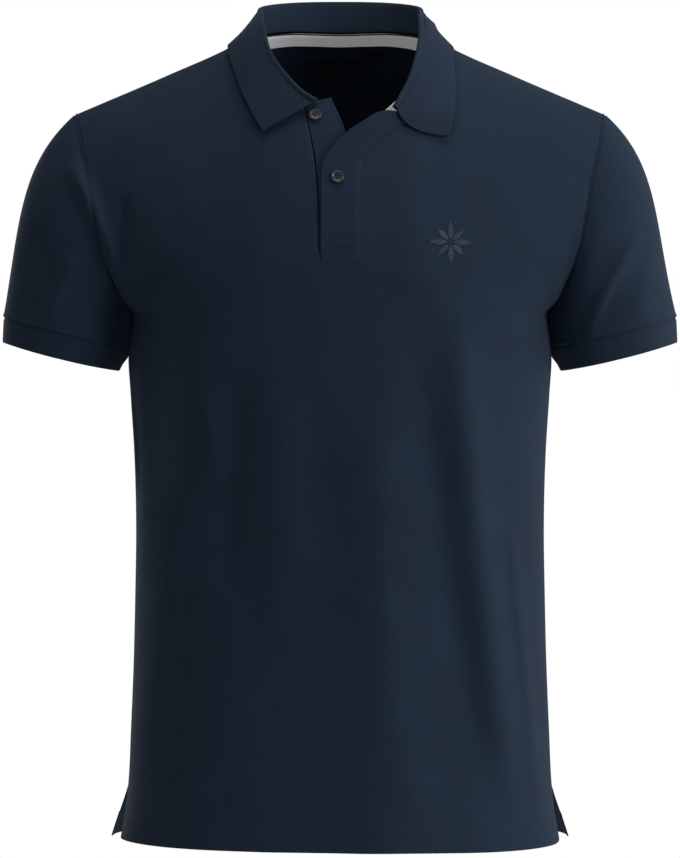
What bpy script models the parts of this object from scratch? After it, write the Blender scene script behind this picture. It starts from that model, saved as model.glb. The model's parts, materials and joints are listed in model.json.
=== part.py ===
"""Men's short-sleeved polo shirt, filled out as if worn, with nobody in it.

Metres, +Z up. The front faces -Y and +X is the wearer's left. The origin is the level
of the high point of the shoulders, on the centre line, where the wearer carries it.
Every piece of cloth is an open wall: an outer sheet, the same sheet moved in by the
cloth's thickness, and a strip round the edges.
"""
import math
from collections import namedtuple

import bmesh
import bpy
import numpy as np
from mathutils import Vector
from mathutils.bvhtree import BVHTree

# Cloth
PANEL_WALL = 0.0012
RIB_WALL = 0.0016
PLACKET_WALL = 0.0016
TAPE_WALL = 0.0010
LABEL_WALL = 0.0010
SEAM_GAP = 0.0003

# Body form
BODY_POWER = 2.2            # 2 is an ellipse; more is squarer
FRONT_ROUND = (0.24, 1.5)   # fall of the chest below the shoulder line: reach, power
BACK_ROUND = (0.115, 2.0)
ARMPIT_Z = -0.248
SHOULDER_X = 0.2375
NECK_X = 0.0805
ARMHOLE_INSET = 0.24        # how far the armhole cuts into the body's full width
WIDENING_REACH = 0.050      # height each way over which the chest widens at the armpit
WIDENING_POWER = 7
VENT_TOP = -0.670
VENT_SPREAD = 0.005         # front and back edges of a vent stand this far apart at the hem
SHOULDER_Z = -0.0685        # level of the shoulder point

# Centre front
SLIT_FOOT = -0.198
SLIT_LEFT = -0.0185
SLIT_RIGHT = 0.0150

# Neck
NECK_BACK_DEPTH = 0.064
NECK_LEVEL_HALF = 0.300     # half width of the body form at the level of the back neck
FOLD_RADIUS = 0.0018
COLLAR_CLEARANCE = 0.0016
STAND_LIFT = 0.0028         # from the neck edge up to the foot of the collar
FALL_ARCH = 0.0012          # how far the middle of the fall stands out from a straight line
TAPE_WIDTH = 0.0090
TAPE_DROP = 0.0018          # from the neck seam down to the tape's upper edge
TAPE_REACH = 0.0740

# Sleeve and cuff
CUFF_HEIGHT = 0.024
SLEEVE_START_DIRECTION = (0.75, 0.0, -0.66)
UNDERARM_DIRECTION = (0.30, 0.0, -0.95)
SLEEVE_END_DIRECTION = (0.10, 0.0, -0.995)
SLEEVE_FLARE = 0.22         # how far the front and back of a sleeve lean out as they leave the seam
HANDLES = (0.35, 0.45)      # lengths of the curve's handles, as shares of the sleeve's length

# Buttons
BUTTON_RADIUS = 0.0056
BUTTON_THICKNESS = 0.0024
BUTTON_HOLE = 0.0009
BUTTON_HOLE_REACH = 0.0017  # from the middle of the button to the middle of a hole
BUTTON_LIFT = 0.0006

# How far to look along a normal for the cloth below or above
PROBE = 0.02

# Grid sizes
SIDE_CELLS = 11
NECK_CELLS = 5
CENTRE_CELLS = 2
BACK_CELLS = 20
UPPER_ROWS = 11
SLIT_ROW = 4
SLEEVE_RINGS = 8
COLLAR_STATIONS = 28

Section = namedtuple("Section", "z front_half back_half front_depth back_depth")
TORSO = (
    Section(-0.718, 0.1965, 0.2035, 0.1225, 0.1195),
    Section(-0.697, 0.1930, 0.1975, 0.1222, 0.1192),
    Section(-0.670, 0.1902, 0.1902, 0.1220, 0.1185),
    Section(-0.620, 0.1878, 0.1878, 0.1210, 0.1165),
    Section(-0.560, 0.1854, 0.1854, 0.1200, 0.1135),
    Section(-0.500, 0.1840, 0.1840, 0.1195, 0.1110),
    Section(-0.440, 0.1832, 0.1832, 0.1200, 0.1105),
    Section(-0.370, 0.1845, 0.1845, 0.1230, 0.1135),
    Section(-0.320, 0.1872, 0.1872, 0.1255, 0.1180),
    Section(-0.285, 0.1885, 0.1885, 0.1262, 0.1215),
    Section(-0.248, 0.1850, 0.1850, 0.1260, 0.1245),
    Section(-0.150, 0.1850, 0.1850, 0.1255, 0.1260),
    Section(0.050, 0.1850, 0.1850, 0.1250, 0.1250),
)

RidgePoint = namedtuple("RidgePoint", "x z")
SHOULDER_LINE = (
    RidgePoint(0.0000, 0.0270),
    RidgePoint(0.0350, 0.0240),
    RidgePoint(0.0550, 0.0180),
    RidgePoint(0.0700, 0.0095),
    RidgePoint(NECK_X, 0.0020),
    RidgePoint(0.0995, -0.0085),
    RidgePoint(0.1540, -0.0330),
    RidgePoint(SHOULDER_X, SHOULDER_Z),
    RidgePoint(0.3500, -0.1160),
)

ArmholePoint = namedtuple("ArmholePoint", "z x")
ARMHOLE = (
    ArmholePoint(-0.2480, 0.1850),
    ArmholePoint(-0.2400, 0.1925),
    ArmholePoint(-0.2230, 0.2010),
    ArmholePoint(-0.1910, 0.2115),
    ArmholePoint(-0.1600, 0.2180),
    ArmholePoint(-0.1280, 0.2240),
    ArmholePoint(-0.1000, 0.2310),
    ArmholePoint(SHOULDER_Z, SHOULDER_X),
)

EdgePoint = namedtuple("EdgePoint", "x z")
NECK_LEFT = (
    EdgePoint(-0.0325, -0.0660),
    EdgePoint(-0.0500, -0.0560),
    EdgePoint(-0.0660, -0.0350),
    EdgePoint(-NECK_X, 0.0020),
)
NECK_RIGHT = (
    EdgePoint(0.0535, -0.0830),
    EdgePoint(0.0680, -0.0600),
    EdgePoint(0.0765, -0.0330),
    EdgePoint(NECK_X, 0.0020),
)

# Slit edges of the two fronts above the slit's foot
EDGE_OF_LEFT_FRONT = (
    EdgePoint(SLIT_LEFT, SLIT_FOOT),
    EdgePoint(-0.0190, -0.1600),
    EdgePoint(-0.0228, -0.1160),
    EdgePoint(-0.0325, -0.0660),
)
EDGE_OF_RIGHT_FRONT = (
    EdgePoint(SLIT_RIGHT, SLIT_FOOT),
    EdgePoint(0.0150, -0.1500),
    EdgePoint(0.0190, -0.1150),
    EdgePoint(0.0330, -0.0950),
    EdgePoint(0.0535, -0.0830),
)

StripRow = namedtuple("StripRow", "free_x free_z sewn_x sewn_z roll")
TOP_PLACKET = (
    StripRow(-0.0164, -0.2080, 0.0164, -0.2080, 0.0000),
    StripRow(-0.0164, -0.1800, 0.0164, -0.1800, 0.0000),
    StripRow(-0.0164, -0.1520, 0.0164, -0.1500, 0.0002),
    StripRow(-0.0162, -0.1340, 0.0166, -0.1280, 0.0006),
    StripRow(-0.0131, -0.1170, 0.0175, -0.1130, 0.0016),
    StripRow(-0.0052, -0.1067, 0.0200, -0.1040, 0.0030),
    StripRow(0.0061, -0.0955, 0.0255, -0.0975, 0.0045),
    StripRow(0.0201, -0.0862, 0.0330, -0.0925, 0.0055),
    StripRow(0.0350, -0.0775, 0.0430, -0.0885, 0.0055),
    StripRow(0.0462, -0.0758, 0.0505, -0.0855, 0.0035),
)
UNDER_PLACKET = (
    StripRow(0.0138, -0.1975, -0.0178, -0.1975, 0.0),
    StripRow(0.0138, -0.1600, -0.0180, -0.1600, 0.0),
    StripRow(0.0112, -0.1220, -0.0216, -0.1160, 0.0),
    StripRow(0.0053, -0.0940, -0.0262, -0.0925, 0.0),
    StripRow(-0.0079, -0.0612, -0.0312, -0.0668, 0.0),
)

# Neck edge of the under placket, from its corner under the collar to the left front
UNDER_PLACKET_TOP = (
    EdgePoint(-0.0205, -0.0638),
    EdgePoint(-0.0320, -0.0660),
)

CollarRow = namedtuple("CollarRow", "seam fold edge bow", defaults=((0.0, 0.0, 0.0),))
COLLAR_LEFT = (
    CollarRow((-0.0215, -0.0805, -0.0622), (-0.0212, -0.0885, -0.0650), (-0.0674, -0.0885, -0.0915)),
    CollarRow((-0.0345, -0.0785, -0.0640), (-0.0340, -0.0830, -0.0560), (-0.0735, -0.0815, -0.0810)),
    CollarRow((-0.0500, -0.0715, -0.0545), (-0.0480, -0.0720, -0.0405), (-0.0840, -0.0655, -0.0600)),
    CollarRow((-0.0660, -0.0560, -0.0335), (-0.0620, -0.0545, -0.0185), (-0.0945, -0.0410, -0.0320)),
    CollarRow((-0.0762, -0.0310, -0.0125), (-0.0685, -0.0300, 0.0060), (-0.1000, -0.0170, -0.0110)),
    CollarRow((-0.0800, -0.0020, 0.0045), (-0.0718, 0.0000, 0.0220), (-0.0995, 0.0040, -0.0055)),
)
COLLAR_BACK = (
    CollarRow((-0.0725, 0.0280, 0.0072), (-0.0712, 0.0320, 0.0330), (-0.0930, 0.0420, -0.0060)),
    CollarRow((-0.0480, 0.0530, 0.0112), (-0.0500, 0.0590, 0.0390), (-0.0660, 0.0770, -0.0050)),
    CollarRow((0.0000, 0.0655, 0.0125), (0.0000, 0.0720, 0.0405), (0.0000, 0.0950, -0.0040)),
    CollarRow((0.0480, 0.0530, 0.0112), (0.0500, 0.0590, 0.0390), (0.0660, 0.0770, -0.0050)),
    CollarRow((0.0725, 0.0280, 0.0072), (0.0718, 0.0320, 0.0330), (0.0940, 0.0420, -0.0060)),
)
COLLAR_RIGHT = (
    CollarRow((0.0800, -0.0020, 0.0045), (0.0728, 0.0000, 0.0220), (0.0995, 0.0040, -0.0055)),
    CollarRow((0.0790, -0.0310, -0.0125), (0.0722, -0.0300, 0.0060), (0.1010, -0.0180, -0.0125)),
    CollarRow((0.0755, -0.0530, -0.0330), (0.0683, -0.0550, -0.0220), (0.1018, -0.0400, -0.0350)),
    CollarRow((0.0690, -0.0690, -0.0550), (0.0616, -0.0700, -0.0440), (0.1015, -0.0580, -0.0590)),
    CollarRow((0.0610, -0.0775, -0.0690), (0.0545, -0.0800, -0.0590), (0.0995, -0.0715, -0.0800)),
    CollarRow((0.0535, -0.0805, -0.0790), (0.0485, -0.0880, -0.0700), (0.0950, -0.0812, -0.0955),
              (-0.009, -0.002, -0.006)),
)

CuffRing = namedtuple("CuffRing", "x y z half_width half_depth tilt")
CUFF_TOP = CuffRing(0.2475, 0.004, -0.2635, 0.0568, 0.0560, math.radians(12.5))
CUFF_FOOT = CuffRing(0.2510, 0.003, -0.2870, 0.0520, 0.0510, math.radians(14.5))

MATERIALS = {
    "pique": ((0.0137, 0.0232, 0.0409), 0.88),
    "rib": ((0.0152, 0.0262, 0.0452), 0.85),
    "tape": ((0.70, 0.71, 0.72), 0.80),
    "label": ((0.012, 0.014, 0.022), 0.55),
    "button": ((0.060, 0.055, 0.058), 0.25),
}


# ---------------------------------------------------------------- curves and tables

def smooth(knots, values, place):
    """Value at a place on the smooth curve through (knot, value) pairs."""
    knots = np.asarray(knots, dtype=float)
    values = np.asarray(values, dtype=float)
    slopes = np.gradient(values, knots, axis=0)
    place = float(np.clip(place, knots[0], knots[-1]))
    i = int(np.clip(np.searchsorted(knots, place) - 1, 0, len(knots) - 2))
    step = knots[i + 1] - knots[i]
    t = (place - knots[i]) / step
    start = (1 + 2 * t) * (1 - t) ** 2 * values[i] + t * (1 - t) ** 2 * step * slopes[i]
    end = t * t * (3 - 2 * t) * values[i + 1] + t * t * (t - 1) * step * slopes[i + 1]
    return start + end


def along_at(points, shares):
    """Points at shares of the length of the smooth curve through the given ones."""
    points = np.asarray(points, dtype=float)
    steps = np.linalg.norm(np.diff(points[:, :3], axis=0), axis=1)
    knots = np.concatenate(([0.0], np.cumsum(steps)))
    return np.array([smooth(knots, points, knots[-1] * share) for share in shares])


def along(points, count):
    """count + 1 points evenly spread along the smooth curve through the given ones."""
    return along_at(points, [i / count for i in range(count + 1)])


def column(table, name):
    return [getattr(row, name) for row in table]


def torso(name, z):
    return float(smooth(column(TORSO, "z"), column(TORSO, name), z))


def shoulder_z(x):
    return float(smooth(column(SHOULDER_LINE, "x"), column(SHOULDER_LINE, "z"), abs(x)))


def armhole_x(z):
    return float(smooth(column(ARMHOLE, "z"), column(ARMHOLE, "x"), z))


def unit(vector):
    vector = np.asarray(vector, dtype=float)
    return vector / np.linalg.norm(vector)


# ---------------------------------------------------------------- the body form

def full_width(z, side):
    """Half width of the body form. Above the armpit it is wider than the cut panel."""
    if z <= ARMPIT_Z:
        return torso(side + "_half", z)
    height = min((z - ARMPIT_Z) / (SHOULDER_Z - ARMPIT_Z), 1.0)
    cut = 1.0 - ARMHOLE_INSET * (1.0 - (1.0 - height) ** 2)
    return armhole_x(min(z, SHOULDER_Z)) / cut


def panel_width(z, side):
    return torso(side + "_half", z) if z <= ARMPIT_Z else armhole_x(min(z, SHOULDER_Z))


def surface_y(x, drop, side):
    """Depth of the outer surface at x and at a drop below the shoulder line.

    The body widens fast just above the armpit. Only the cloth beside the armhole
    follows that; the middle of the panel takes the mean of the heights around.
    """
    z = shoulder_z(x) - drop
    beside = min(abs(x) / panel_width(z, side), 1.0) ** WIDENING_POWER
    heights = [z + WIDENING_REACH * k / 4 for k in range(-4, 5)]
    mean = sum(full_width(h, side) for h in heights) / len(heights)
    width = mean * (1 - beside) + full_width(z, side) * beside
    across = min(abs(x) / width, 1.0)
    arch = (1.0 - across ** BODY_POWER) ** (1.0 / BODY_POWER)
    reach, power = FRONT_ROUND if side == "front" else BACK_ROUND
    fall = min(max(drop, 0.0) / reach, 1.0)
    rounding = (1.0 - (1.0 - fall) ** power) ** (1.0 / power)
    facing = -1.0 if side == "front" else 1.0
    return facing * (torso(side + "_depth", z) * arch * rounding + SEAM_GAP / 2)


def on_panel(x, z, side):
    return np.array((x, surface_y(x, shoulder_z(x) - z, side), z))


def panel_normal(x, z, side):
    """Outward normal of the body form at a point on the front or the back."""
    step = 0.0005
    across = on_panel(x + step, z, side) - on_panel(x - step, z, side)
    upward = on_panel(x, z + step, side) - on_panel(x, z - step, side)
    normal = unit(np.cross(across, upward))
    facing = -1.0 if side == "front" else 1.0
    return normal * facing * math.copysign(1.0, normal[1])


# ---------------------------------------------------------------- solids from sheets

def material(name):
    made = bpy.data.materials.get(name)
    if made is None:
        colour, roughness = MATERIALS[name]
        made = bpy.data.materials.new(name)
        made.use_nodes = True
        shader = made.node_tree.nodes["Principled BSDF"]
        shader.inputs["Base Color"].default_value = (*colour, 1.0)
        shader.inputs["Roughness"].default_value = roughness
        shader.inputs["Metallic"].default_value = 0.0
    return made


def add_object(name, mesh, material_name):
    mesh.materials.append(material(material_name))
    mesh.shade_smooth()
    mesh.set_sharp_from_angle(angle=math.radians(50))
    piece = bpy.data.objects.new(name, mesh)
    bpy.context.scene.collection.objects.link(piece)
    return piece


def sheet_normals(points, closed):
    """Unit normals of a grid of points, from the differences between neighbours."""
    if closed:
        wrapped = np.concatenate((points[-1:], points, points[:1]))
        along_first = np.gradient(wrapped, axis=0)[1:-1]
    else:
        along_first = np.gradient(points, axis=0)
    along_second = np.gradient(points, axis=1)
    normals = np.cross(along_first, along_second)
    lengths = np.linalg.norm(normals, axis=2, keepdims=True)
    return normals / np.maximum(lengths, 1e-12)


def cloth_wall(name, outer, inner, material_name, closed=False, missing=()):
    """Closed solid between two grids of points, without the missing cells."""
    first, second = outer.shape[:2]
    spans = first if closed else first - 1
    cells = [(i, j) for i in range(spans) for j in range(second - 1) if (i, j) not in missing]
    form = bmesh.new()
    made = {}

    def vertex(i, j, layer):
        key = (i % first, j, layer)
        if key not in made:
            grid = outer if layer == 0 else inner
            made[key] = form.verts.new(grid[key[0], j])
        return made[key]

    edges = {}
    for i, j in cells:
        ring = ((i, j), (i + 1, j), (i + 1, j + 1), (i, j + 1))
        form.faces.new([vertex(a, b, 0) for a, b in ring])
        form.faces.new([vertex(a, b, 1) for a, b in reversed(ring)])
        for start, end in zip(ring, ring[1:] + ring[:1]):
            start = (start[0] % first, start[1])
            end = (end[0] % first, end[1])
            if (end, start) in edges:
                del edges[(end, start)]
            else:
                edges[(start, end)] = True
    for start, end in edges:
        form.faces.new((vertex(*end, 0), vertex(*start, 0), vertex(*start, 1), vertex(*end, 1)))
    bmesh.ops.recalc_face_normals(form, faces=form.faces)
    mesh = bpy.data.meshes.new(name)
    form.to_mesh(mesh)
    form.free()
    return add_object(name, mesh, material_name)


# ---------------------------------------------------------------- front and back panels

def lower_heights():
    """Row heights from the hem to the armpit; the vents' rows come first."""
    vents = [TORSO[0].z, TORSO[1].z, VENT_TOP]
    count = 9
    rest = [VENT_TOP + (ARMPIT_Z - VENT_TOP) * (i + 1) / count for i in range(count)]
    return vents + rest


def rise(row):
    """Share of the way from armpit to shoulder, with rows closer at both ends."""
    return 0.5 - 0.5 * math.cos(math.pi * row / UPPER_ROWS)


def body_row(z, side, hand, inner_x, cells):
    """x across one row below the armpit, closer together towards the side seam."""
    half = torso(side + "_half", z)
    start = math.asin((abs(inner_x) / half) ** (BODY_POWER / 2)) if inner_x else 0.0
    if inner_x * hand < 0:
        start = -start
    turns = [start + (math.pi / 2 - start) * i / cells for i in range(cells + 1)]
    powers = [math.copysign(abs(math.sin(t)) ** (2 / BODY_POWER), math.sin(t)) for t in turns]
    return [hand * half * p for p in powers]


def top_edge(neckline, hand, cells, neck_cells):
    """(x, drop) along the neckline from the centre, then along the shoulder seam."""
    neck = along([(p[0], p[1], 0.0) for p in neckline], neck_cells)
    edge = [(x, max(shoulder_z(x) - z, 0.0)) for x, z, _ in neck]
    edge[-1] = (hand * NECK_X, 0.0)
    rest = cells - neck_cells
    for i in range(1, rest + 1):
        edge.append((hand * (NECK_X + (SHOULDER_X - NECK_X) * i / rest), 0.0))
    return np.array(edge)


def armhole_edge(hand):
    """(x, drop) up the armhole seam, one point a row."""
    edge = []
    for row in range(UPPER_ROWS + 1):
        z = ARMPIT_Z + (SHOULDER_Z - ARMPIT_Z) * rise(row)
        x = armhole_x(z)
        edge.append((hand * x, max(shoulder_z(x) - z, 0.0)))
    edge[-1] = (hand * SHOULDER_X, 0.0)
    return np.array(edge)


def upper_patch(foot, top, inner, outer):
    """Rows of (x, drop) between four edges, blended from all of them."""
    cells = len(foot) - 1
    rows = []
    for k in range(UPPER_ROWS + 1):
        v = rise(k)
        row = []
        for i in range(cells + 1):
            u = i / cells
            across = (1 - u) * inner[k] + u * outer[k]
            up = (1 - v) * foot[i] + v * top[i]
            corners = ((1 - u) * (1 - v) * foot[0] + u * (1 - v) * foot[-1]
                       + (1 - u) * v * top[0] + u * v * top[-1])
            row.append(across + up - corners)
        rows.append(row)
    return np.array(rows)


def half_panel(side, hand, inner_x, inner_edge, neckline, cells, neck_cells):
    """Grid of outer points of one half: [column from the centre][row from the hem]."""
    rows = []
    for z in lower_heights():
        points = []
        for x in body_row(z, side, hand, inner_x, cells):
            points.append(on_panel(x, z, side))
        rows.append(points)
    foot_x = body_row(ARMPIT_Z, side, hand, inner_x, cells)
    foot = np.array([(x, shoulder_z(x) - ARMPIT_Z) for x in foot_x])
    top = top_edge(neckline, hand, cells, neck_cells)
    patch = upper_patch(foot, top, inner_edge, armhole_edge(hand))
    for row in patch[1:]:
        points = []
        for x, drop in row:
            drop = max(drop, 0.0)
            points.append((x, surface_y(x, drop, side), shoulder_z(x) - drop))
        rows.append(points)
    grid = np.array(rows).transpose(1, 0, 2)
    vent = np.clip((VENT_TOP - grid[:, :, 2]) / (VENT_TOP - TORSO[0].z), 0.0, 1.0)
    share = np.linspace(0.0, 1.0, cells + 1)[:, None] ** 4
    facing = -1.0 if side == "front" else 1.0
    grid[:, :, 1] += facing * vent * share * VENT_SPREAD / 2
    return grid


def inner_edge_points(start_x, table):
    """(x, drop) up a slit edge: armpit level to the slit's foot, then along the edge."""
    lower = [(start_x, shoulder_z(start_x) - ARMPIT_Z
              + (ARMPIT_Z - SLIT_FOOT) * rise(k) / rise(SLIT_ROW)) for k in range(SLIT_ROW)]
    passed = rise(SLIT_ROW)
    shares = [(rise(k) - passed) / (1 - passed) for k in range(SLIT_ROW, UPPER_ROWS + 1)]
    upper = along_at([(p.x, p.z, 0.0) for p in table], shares)
    return np.array(lower + [(x, shoulder_z(x) - z) for x, z, _ in upper])


def panel_normals(grid, side):
    """Normals of a whole panel; seam edges share the direction of the piece beyond."""
    normals = sheet_normals(grid, closed=False)
    outward = grid.copy()
    outward[:, :, 2] = 0.03
    flip = np.sign((normals * outward).sum(axis=2, keepdims=True))
    normals = normals * np.where(flip == 0, 1, flip)
    armpit_row = len(lower_heights()) - 1
    seam_rows = [k for k, z in enumerate(lower_heights()) if z >= VENT_TOP - 0.001]
    for end in (0, -1):
        hand = math.copysign(1.0, grid[end, 0, 0])
        for k in seam_rows:
            normals[end, k] = (hand, 0.0, 0.0)
        for k in range(armpit_row + 1, grid.shape[1] - 1):
            x, _, z = grid[end, k]
            normals[end, k] = panel_normal(x - hand * 0.0004, z, side)
    for i in range(grid.shape[0]):
        x = grid[i, -1, 0]
        if abs(x) >= NECK_X - 0.0001:
            slope = (shoulder_z(abs(x) + 0.002) - shoulder_z(abs(x) - 0.002)) / 0.004
            normals[i, -1] = unit((-slope * math.copysign(1.0, x), 0.0, 1.0))
    return normals


def front_grid():
    """Outer points of the whole front and the cells that the placket slit leaves out."""
    left_edge = inner_edge_points(SLIT_LEFT, EDGE_OF_LEFT_FRONT)
    right_edge = inner_edge_points(SLIT_RIGHT, EDGE_OF_RIGHT_FRONT)
    left = half_panel("front", -1, SLIT_LEFT, left_edge, NECK_LEFT, SIDE_CELLS, NECK_CELLS)
    right = half_panel("front", 1, SLIT_RIGHT, right_edge, NECK_RIGHT, SIDE_CELLS, NECK_CELLS)
    middle = []
    for c in range(1, CENTRE_CELLS):
        share = c / CENTRE_CELLS
        column_points = left[0] * (1 - share) + right[0] * share
        for point in column_points:
            point[1] = on_panel(point[0], point[2], "front")[1]
        middle.append(column_points)
    grid = np.concatenate((left[::-1], np.array(middle), right))
    slit_start = len(lower_heights()) - 1 + SLIT_ROW
    missing = {(SIDE_CELLS + c, k) for c in range(CENTRE_CELLS)
               for k in range(slit_start, grid.shape[1] - 1)}
    return grid, missing


def back_neckline():
    """Back neck seam as (x, z) from the centre to the neck point: half an oval in plan."""
    points = []
    for i in range(NECK_CELLS + 1):
        turn = math.pi / 2 * i / NECK_CELLS
        x = NECK_X * math.sin(turn)
        y = NECK_BACK_DEPTH * math.cos(turn)
        reach, power = BACK_ROUND
        depth = torso("back_depth", 0.0) * (1 - (x / NECK_LEVEL_HALF) ** BODY_POWER) ** (1 / BODY_POWER)
        fall = 1 - (1 - min(y / depth, 1.0) ** power) ** (1 / power)
        points.append((x, shoulder_z(x) - reach * fall))
    return points


def back_grid():
    neckline = back_neckline()
    half_cells = BACK_CELLS // 2
    top_z = neckline[0][1]
    edge = []
    for k in range(UPPER_ROWS + 1):
        z = ARMPIT_Z + (top_z - ARMPIT_Z) * rise(k)
        edge.append((0.0, shoulder_z(0.0) - z))
    halves = []
    for hand in (-1, 1):
        line = [(hand * x, z) for x, z in neckline]
        halves.append(half_panel("back", hand, 0.0, np.array(edge), line, half_cells,
                                 NECK_CELLS))
    return np.concatenate((halves[0][::-1], halves[1][1:]))


def make_panel(name, grid, side, missing=()):
    inner = grid - panel_normals(grid, side) * PANEL_WALL
    return cloth_wall(name, grid, inner, "pique", missing=missing)


# ---------------------------------------------------------------- sleeves and cuffs

def armhole_loop(front, back, hand):
    """Armhole seam round from the shoulder, down the front, up the back, with normals."""
    end = 0 if hand < 0 else -1
    start = len(lower_heights()) - 1
    points = []
    normals = []
    for grid, side, rows in ((front, "front", range(UPPER_ROWS, -1, -1)),
                             (back, "back", range(1, UPPER_ROWS))):
        cloth = panel_normals(grid, side)
        for k in rows:
            points.append(grid[end, start + k])
            normals.append(cloth[end, start + k])
    points[0] = points[0] * (1.0, 0.0, 1.0)
    return np.array(points), np.array(normals)


def cuff_ring(ring, hand, count):
    """Oval ring in a tilted plane, from its outermost point round by the front."""
    points = []
    for i in range(count):
        turn = 2 * math.pi * i / count
        reach = ring.half_width * math.cos(turn)
        x = ring.x + reach * math.cos(ring.tilt)
        y = ring.y - ring.half_depth * math.sin(turn)
        z = ring.z + reach * math.sin(ring.tilt)
        points.append((hand * x, y, z))
    return np.array(points)


def sleeve_grid(front, back, hand):
    """Outer points of a sleeve: [round the arm][from the armhole to the cuff]."""
    loop, seam_normals = armhole_loop(front, back, hand)
    count = len(loop)
    mirror = np.array((hand, 1.0, 1.0))
    start = loop + np.array((hand * 2 * SEAM_GAP, 0.0, 0.0))
    end = cuff_ring(CUFF_TOP, hand, count)
    grid = np.zeros((count, SLEEVE_RINGS + 1, 3))
    for i in range(count):
        turn = 2 * math.pi * i / count
        under = 0.5 - 0.5 * math.cos(turn)
        leave = (1 - under) * np.array(SLEEVE_START_DIRECTION) + under * np.array(UNDERARM_DIRECTION)
        leave = unit(leave + np.array((0.0, -SLEEVE_FLARE * math.sin(turn), 0.0))) * mirror
        arrive = unit(SLEEVE_END_DIRECTION) * mirror
        span = np.linalg.norm(end[i] - start[i])
        first = start[i] + leave * HANDLES[0] * span
        last = end[i] - arrive * HANDLES[1] * span
        for k in range(SLEEVE_RINGS + 1):
            t = k / SLEEVE_RINGS
            grid[i, k] = ((1 - t) ** 3 * start[i] + 3 * t * (1 - t) ** 2 * first
                          + 3 * t * t * (1 - t) * last + t ** 3 * end[i])
    return grid, seam_normals


def tube_normals(grid):
    """Outward normals of a tube whose first index runs round it."""
    normals = sheet_normals(grid, closed=True)
    centres = grid.mean(axis=0, keepdims=True)
    outward = (normals * (grid - centres)).sum()
    return normals * math.copysign(1.0, outward)


def make_sleeve(name, front, back, hand):
    grid, seam_normals = sleeve_grid(front, back, hand)
    normals = tube_normals(grid)
    agree = (normals[:, 0] * seam_normals).sum(axis=1, keepdims=True)
    share = np.clip(agree * 1.6, 0.0, 1.0)
    mixed = normals[:, 0] * (1 - share) + seam_normals * share
    normals[:, 0] = mixed / np.linalg.norm(mixed, axis=1, keepdims=True)
    return cloth_wall(name, grid, grid - normals * PANEL_WALL, "pique", closed=True)


def make_cuff(name, hand, count):
    """Rib band: starts one seam gap beyond the sleeve's end and is set in a little."""
    top = cuff_ring(CUFF_TOP, hand, count)
    foot = cuff_ring(CUFF_FOOT, hand, count)
    gap = 2 * SEAM_GAP / CUFF_HEIGHT
    rows = [top + (foot - top) * share for share in (gap, 0.5, 1.0)]
    grid = np.array(rows).transpose(1, 0, 2)
    return cloth_wall(name, grid, grid - tube_normals(grid) * RIB_WALL, "rib", closed=True)


# ---------------------------------------------------------------- collar, tape, plackets

def collar_rows():
    return COLLAR_LEFT + COLLAR_BACK + COLLAR_RIGHT


def collar_sections():
    """Collar stations: neck seam, fold, outer edge and bow, evenly along the fold."""
    flat = [np.concatenate((row.fold, row.seam, row.edge, row.bow)) for row in collar_rows()]
    return along(flat, COLLAR_STATIONS)


def collar_section(station):
    """Middle surface of the collar at one station: up the stand, over, down the fall."""
    fold, seam, edge, bow = station[0:3], station[3:6], station[6:9], station[9:12]
    across = unit(edge - seam)
    upward = fold - seam
    upward = unit(upward - across * upward.dot(across))
    centre = fold - upward * FOLD_RADIUS
    arc = []
    for k in range(5):
        turn = math.pi * k / 4
        arc.append(centre + FOLD_RADIUS * (-across * math.cos(turn) + upward * math.sin(turn)))
    stand = [seam, seam * 0.5 + arc[0] * 0.5]
    fall = []
    for share in (0.3, 0.65, 1.0):
        sag = 4 * share * (1 - share)
        fall.append(arc[-1] * (1 - share) + edge * share + bow * sag + upward * FALL_ARCH * sag)
    return np.array(stand + arc + fall)


def outer_tree(grid, missing=()):
    """Search tree of an outer sheet alone."""
    first, second = grid.shape[:2]
    quads = [(i * second + j, (i + 1) * second + j, (i + 1) * second + j + 1, i * second + j + 1)
             for i in range(first - 1) for j in range(second - 1) if (i, j) not in missing]
    return BVHTree.FromPolygons([tuple(p) for p in grid.reshape(-1, 3)], quads)


def clear_of(trees, point, gap):
    """Moves a point out until it is a gap away from the sheets below it."""
    for tree in trees:
        near, normal, _, _ = tree.find_nearest(Vector(point))
        if normal.dot(near * Vector((1.0, 1.0, 0.0)) + Vector((0.0, 0.0, 0.03))) < 0:
            normal = -normal
        height = (Vector(point) - near).dot(normal)
        if height < gap and (Vector(point) - near).length < PROBE:
            point = point + np.array(normal) * (gap - height)
    return point


def neck_edge(front, back):
    """Points right round the neck opening, from under placket to right front."""
    placket = [on_panel(p.x, p.z, "front") for p in UNDER_PLACKET_TOP]
    left = [front[SIDE_CELLS - i, -1] for i in range(NECK_CELLS + 1)]
    middle = back.shape[0] // 2
    round_back = [back[middle + i, -1] for i in range(1 - NECK_CELLS, NECK_CELLS)]
    start = SIDE_CELLS + CENTRE_CELLS
    right = [front[start + i, -1] for i in range(NECK_CELLS, -1, -1)]
    return np.array(placket + left + round_back + right)


def nearest_on(line, point):
    """Point of a polyline nearest to a given one."""
    starts = line[:-1]
    steps = line[1:] - starts
    shares = ((point - starts) * steps).sum(axis=1) / (steps * steps).sum(axis=1)
    feet = starts + steps * np.clip(shares, 0.0, 1.0)[:, None]
    return feet[np.argmin(np.linalg.norm(feet - point, axis=1))]


def collar_grid(trees, edge_line):
    grid = []
    for station in collar_sections():
        fold, seam = station[0:3], station[3:6]
        foot = nearest_on(edge_line, seam)
        station[3:6] = foot + unit(fold - foot) * STAND_LIFT
        grid.append(collar_section(station))
    grid = np.array(grid)
    for i in range(grid.shape[0]):
        for j in range(6, grid.shape[1]):
            grid[i, j] = clear_of(trees, grid[i, j], COLLAR_CLEARANCE + RIB_WALL / 2)
    return grid


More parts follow.
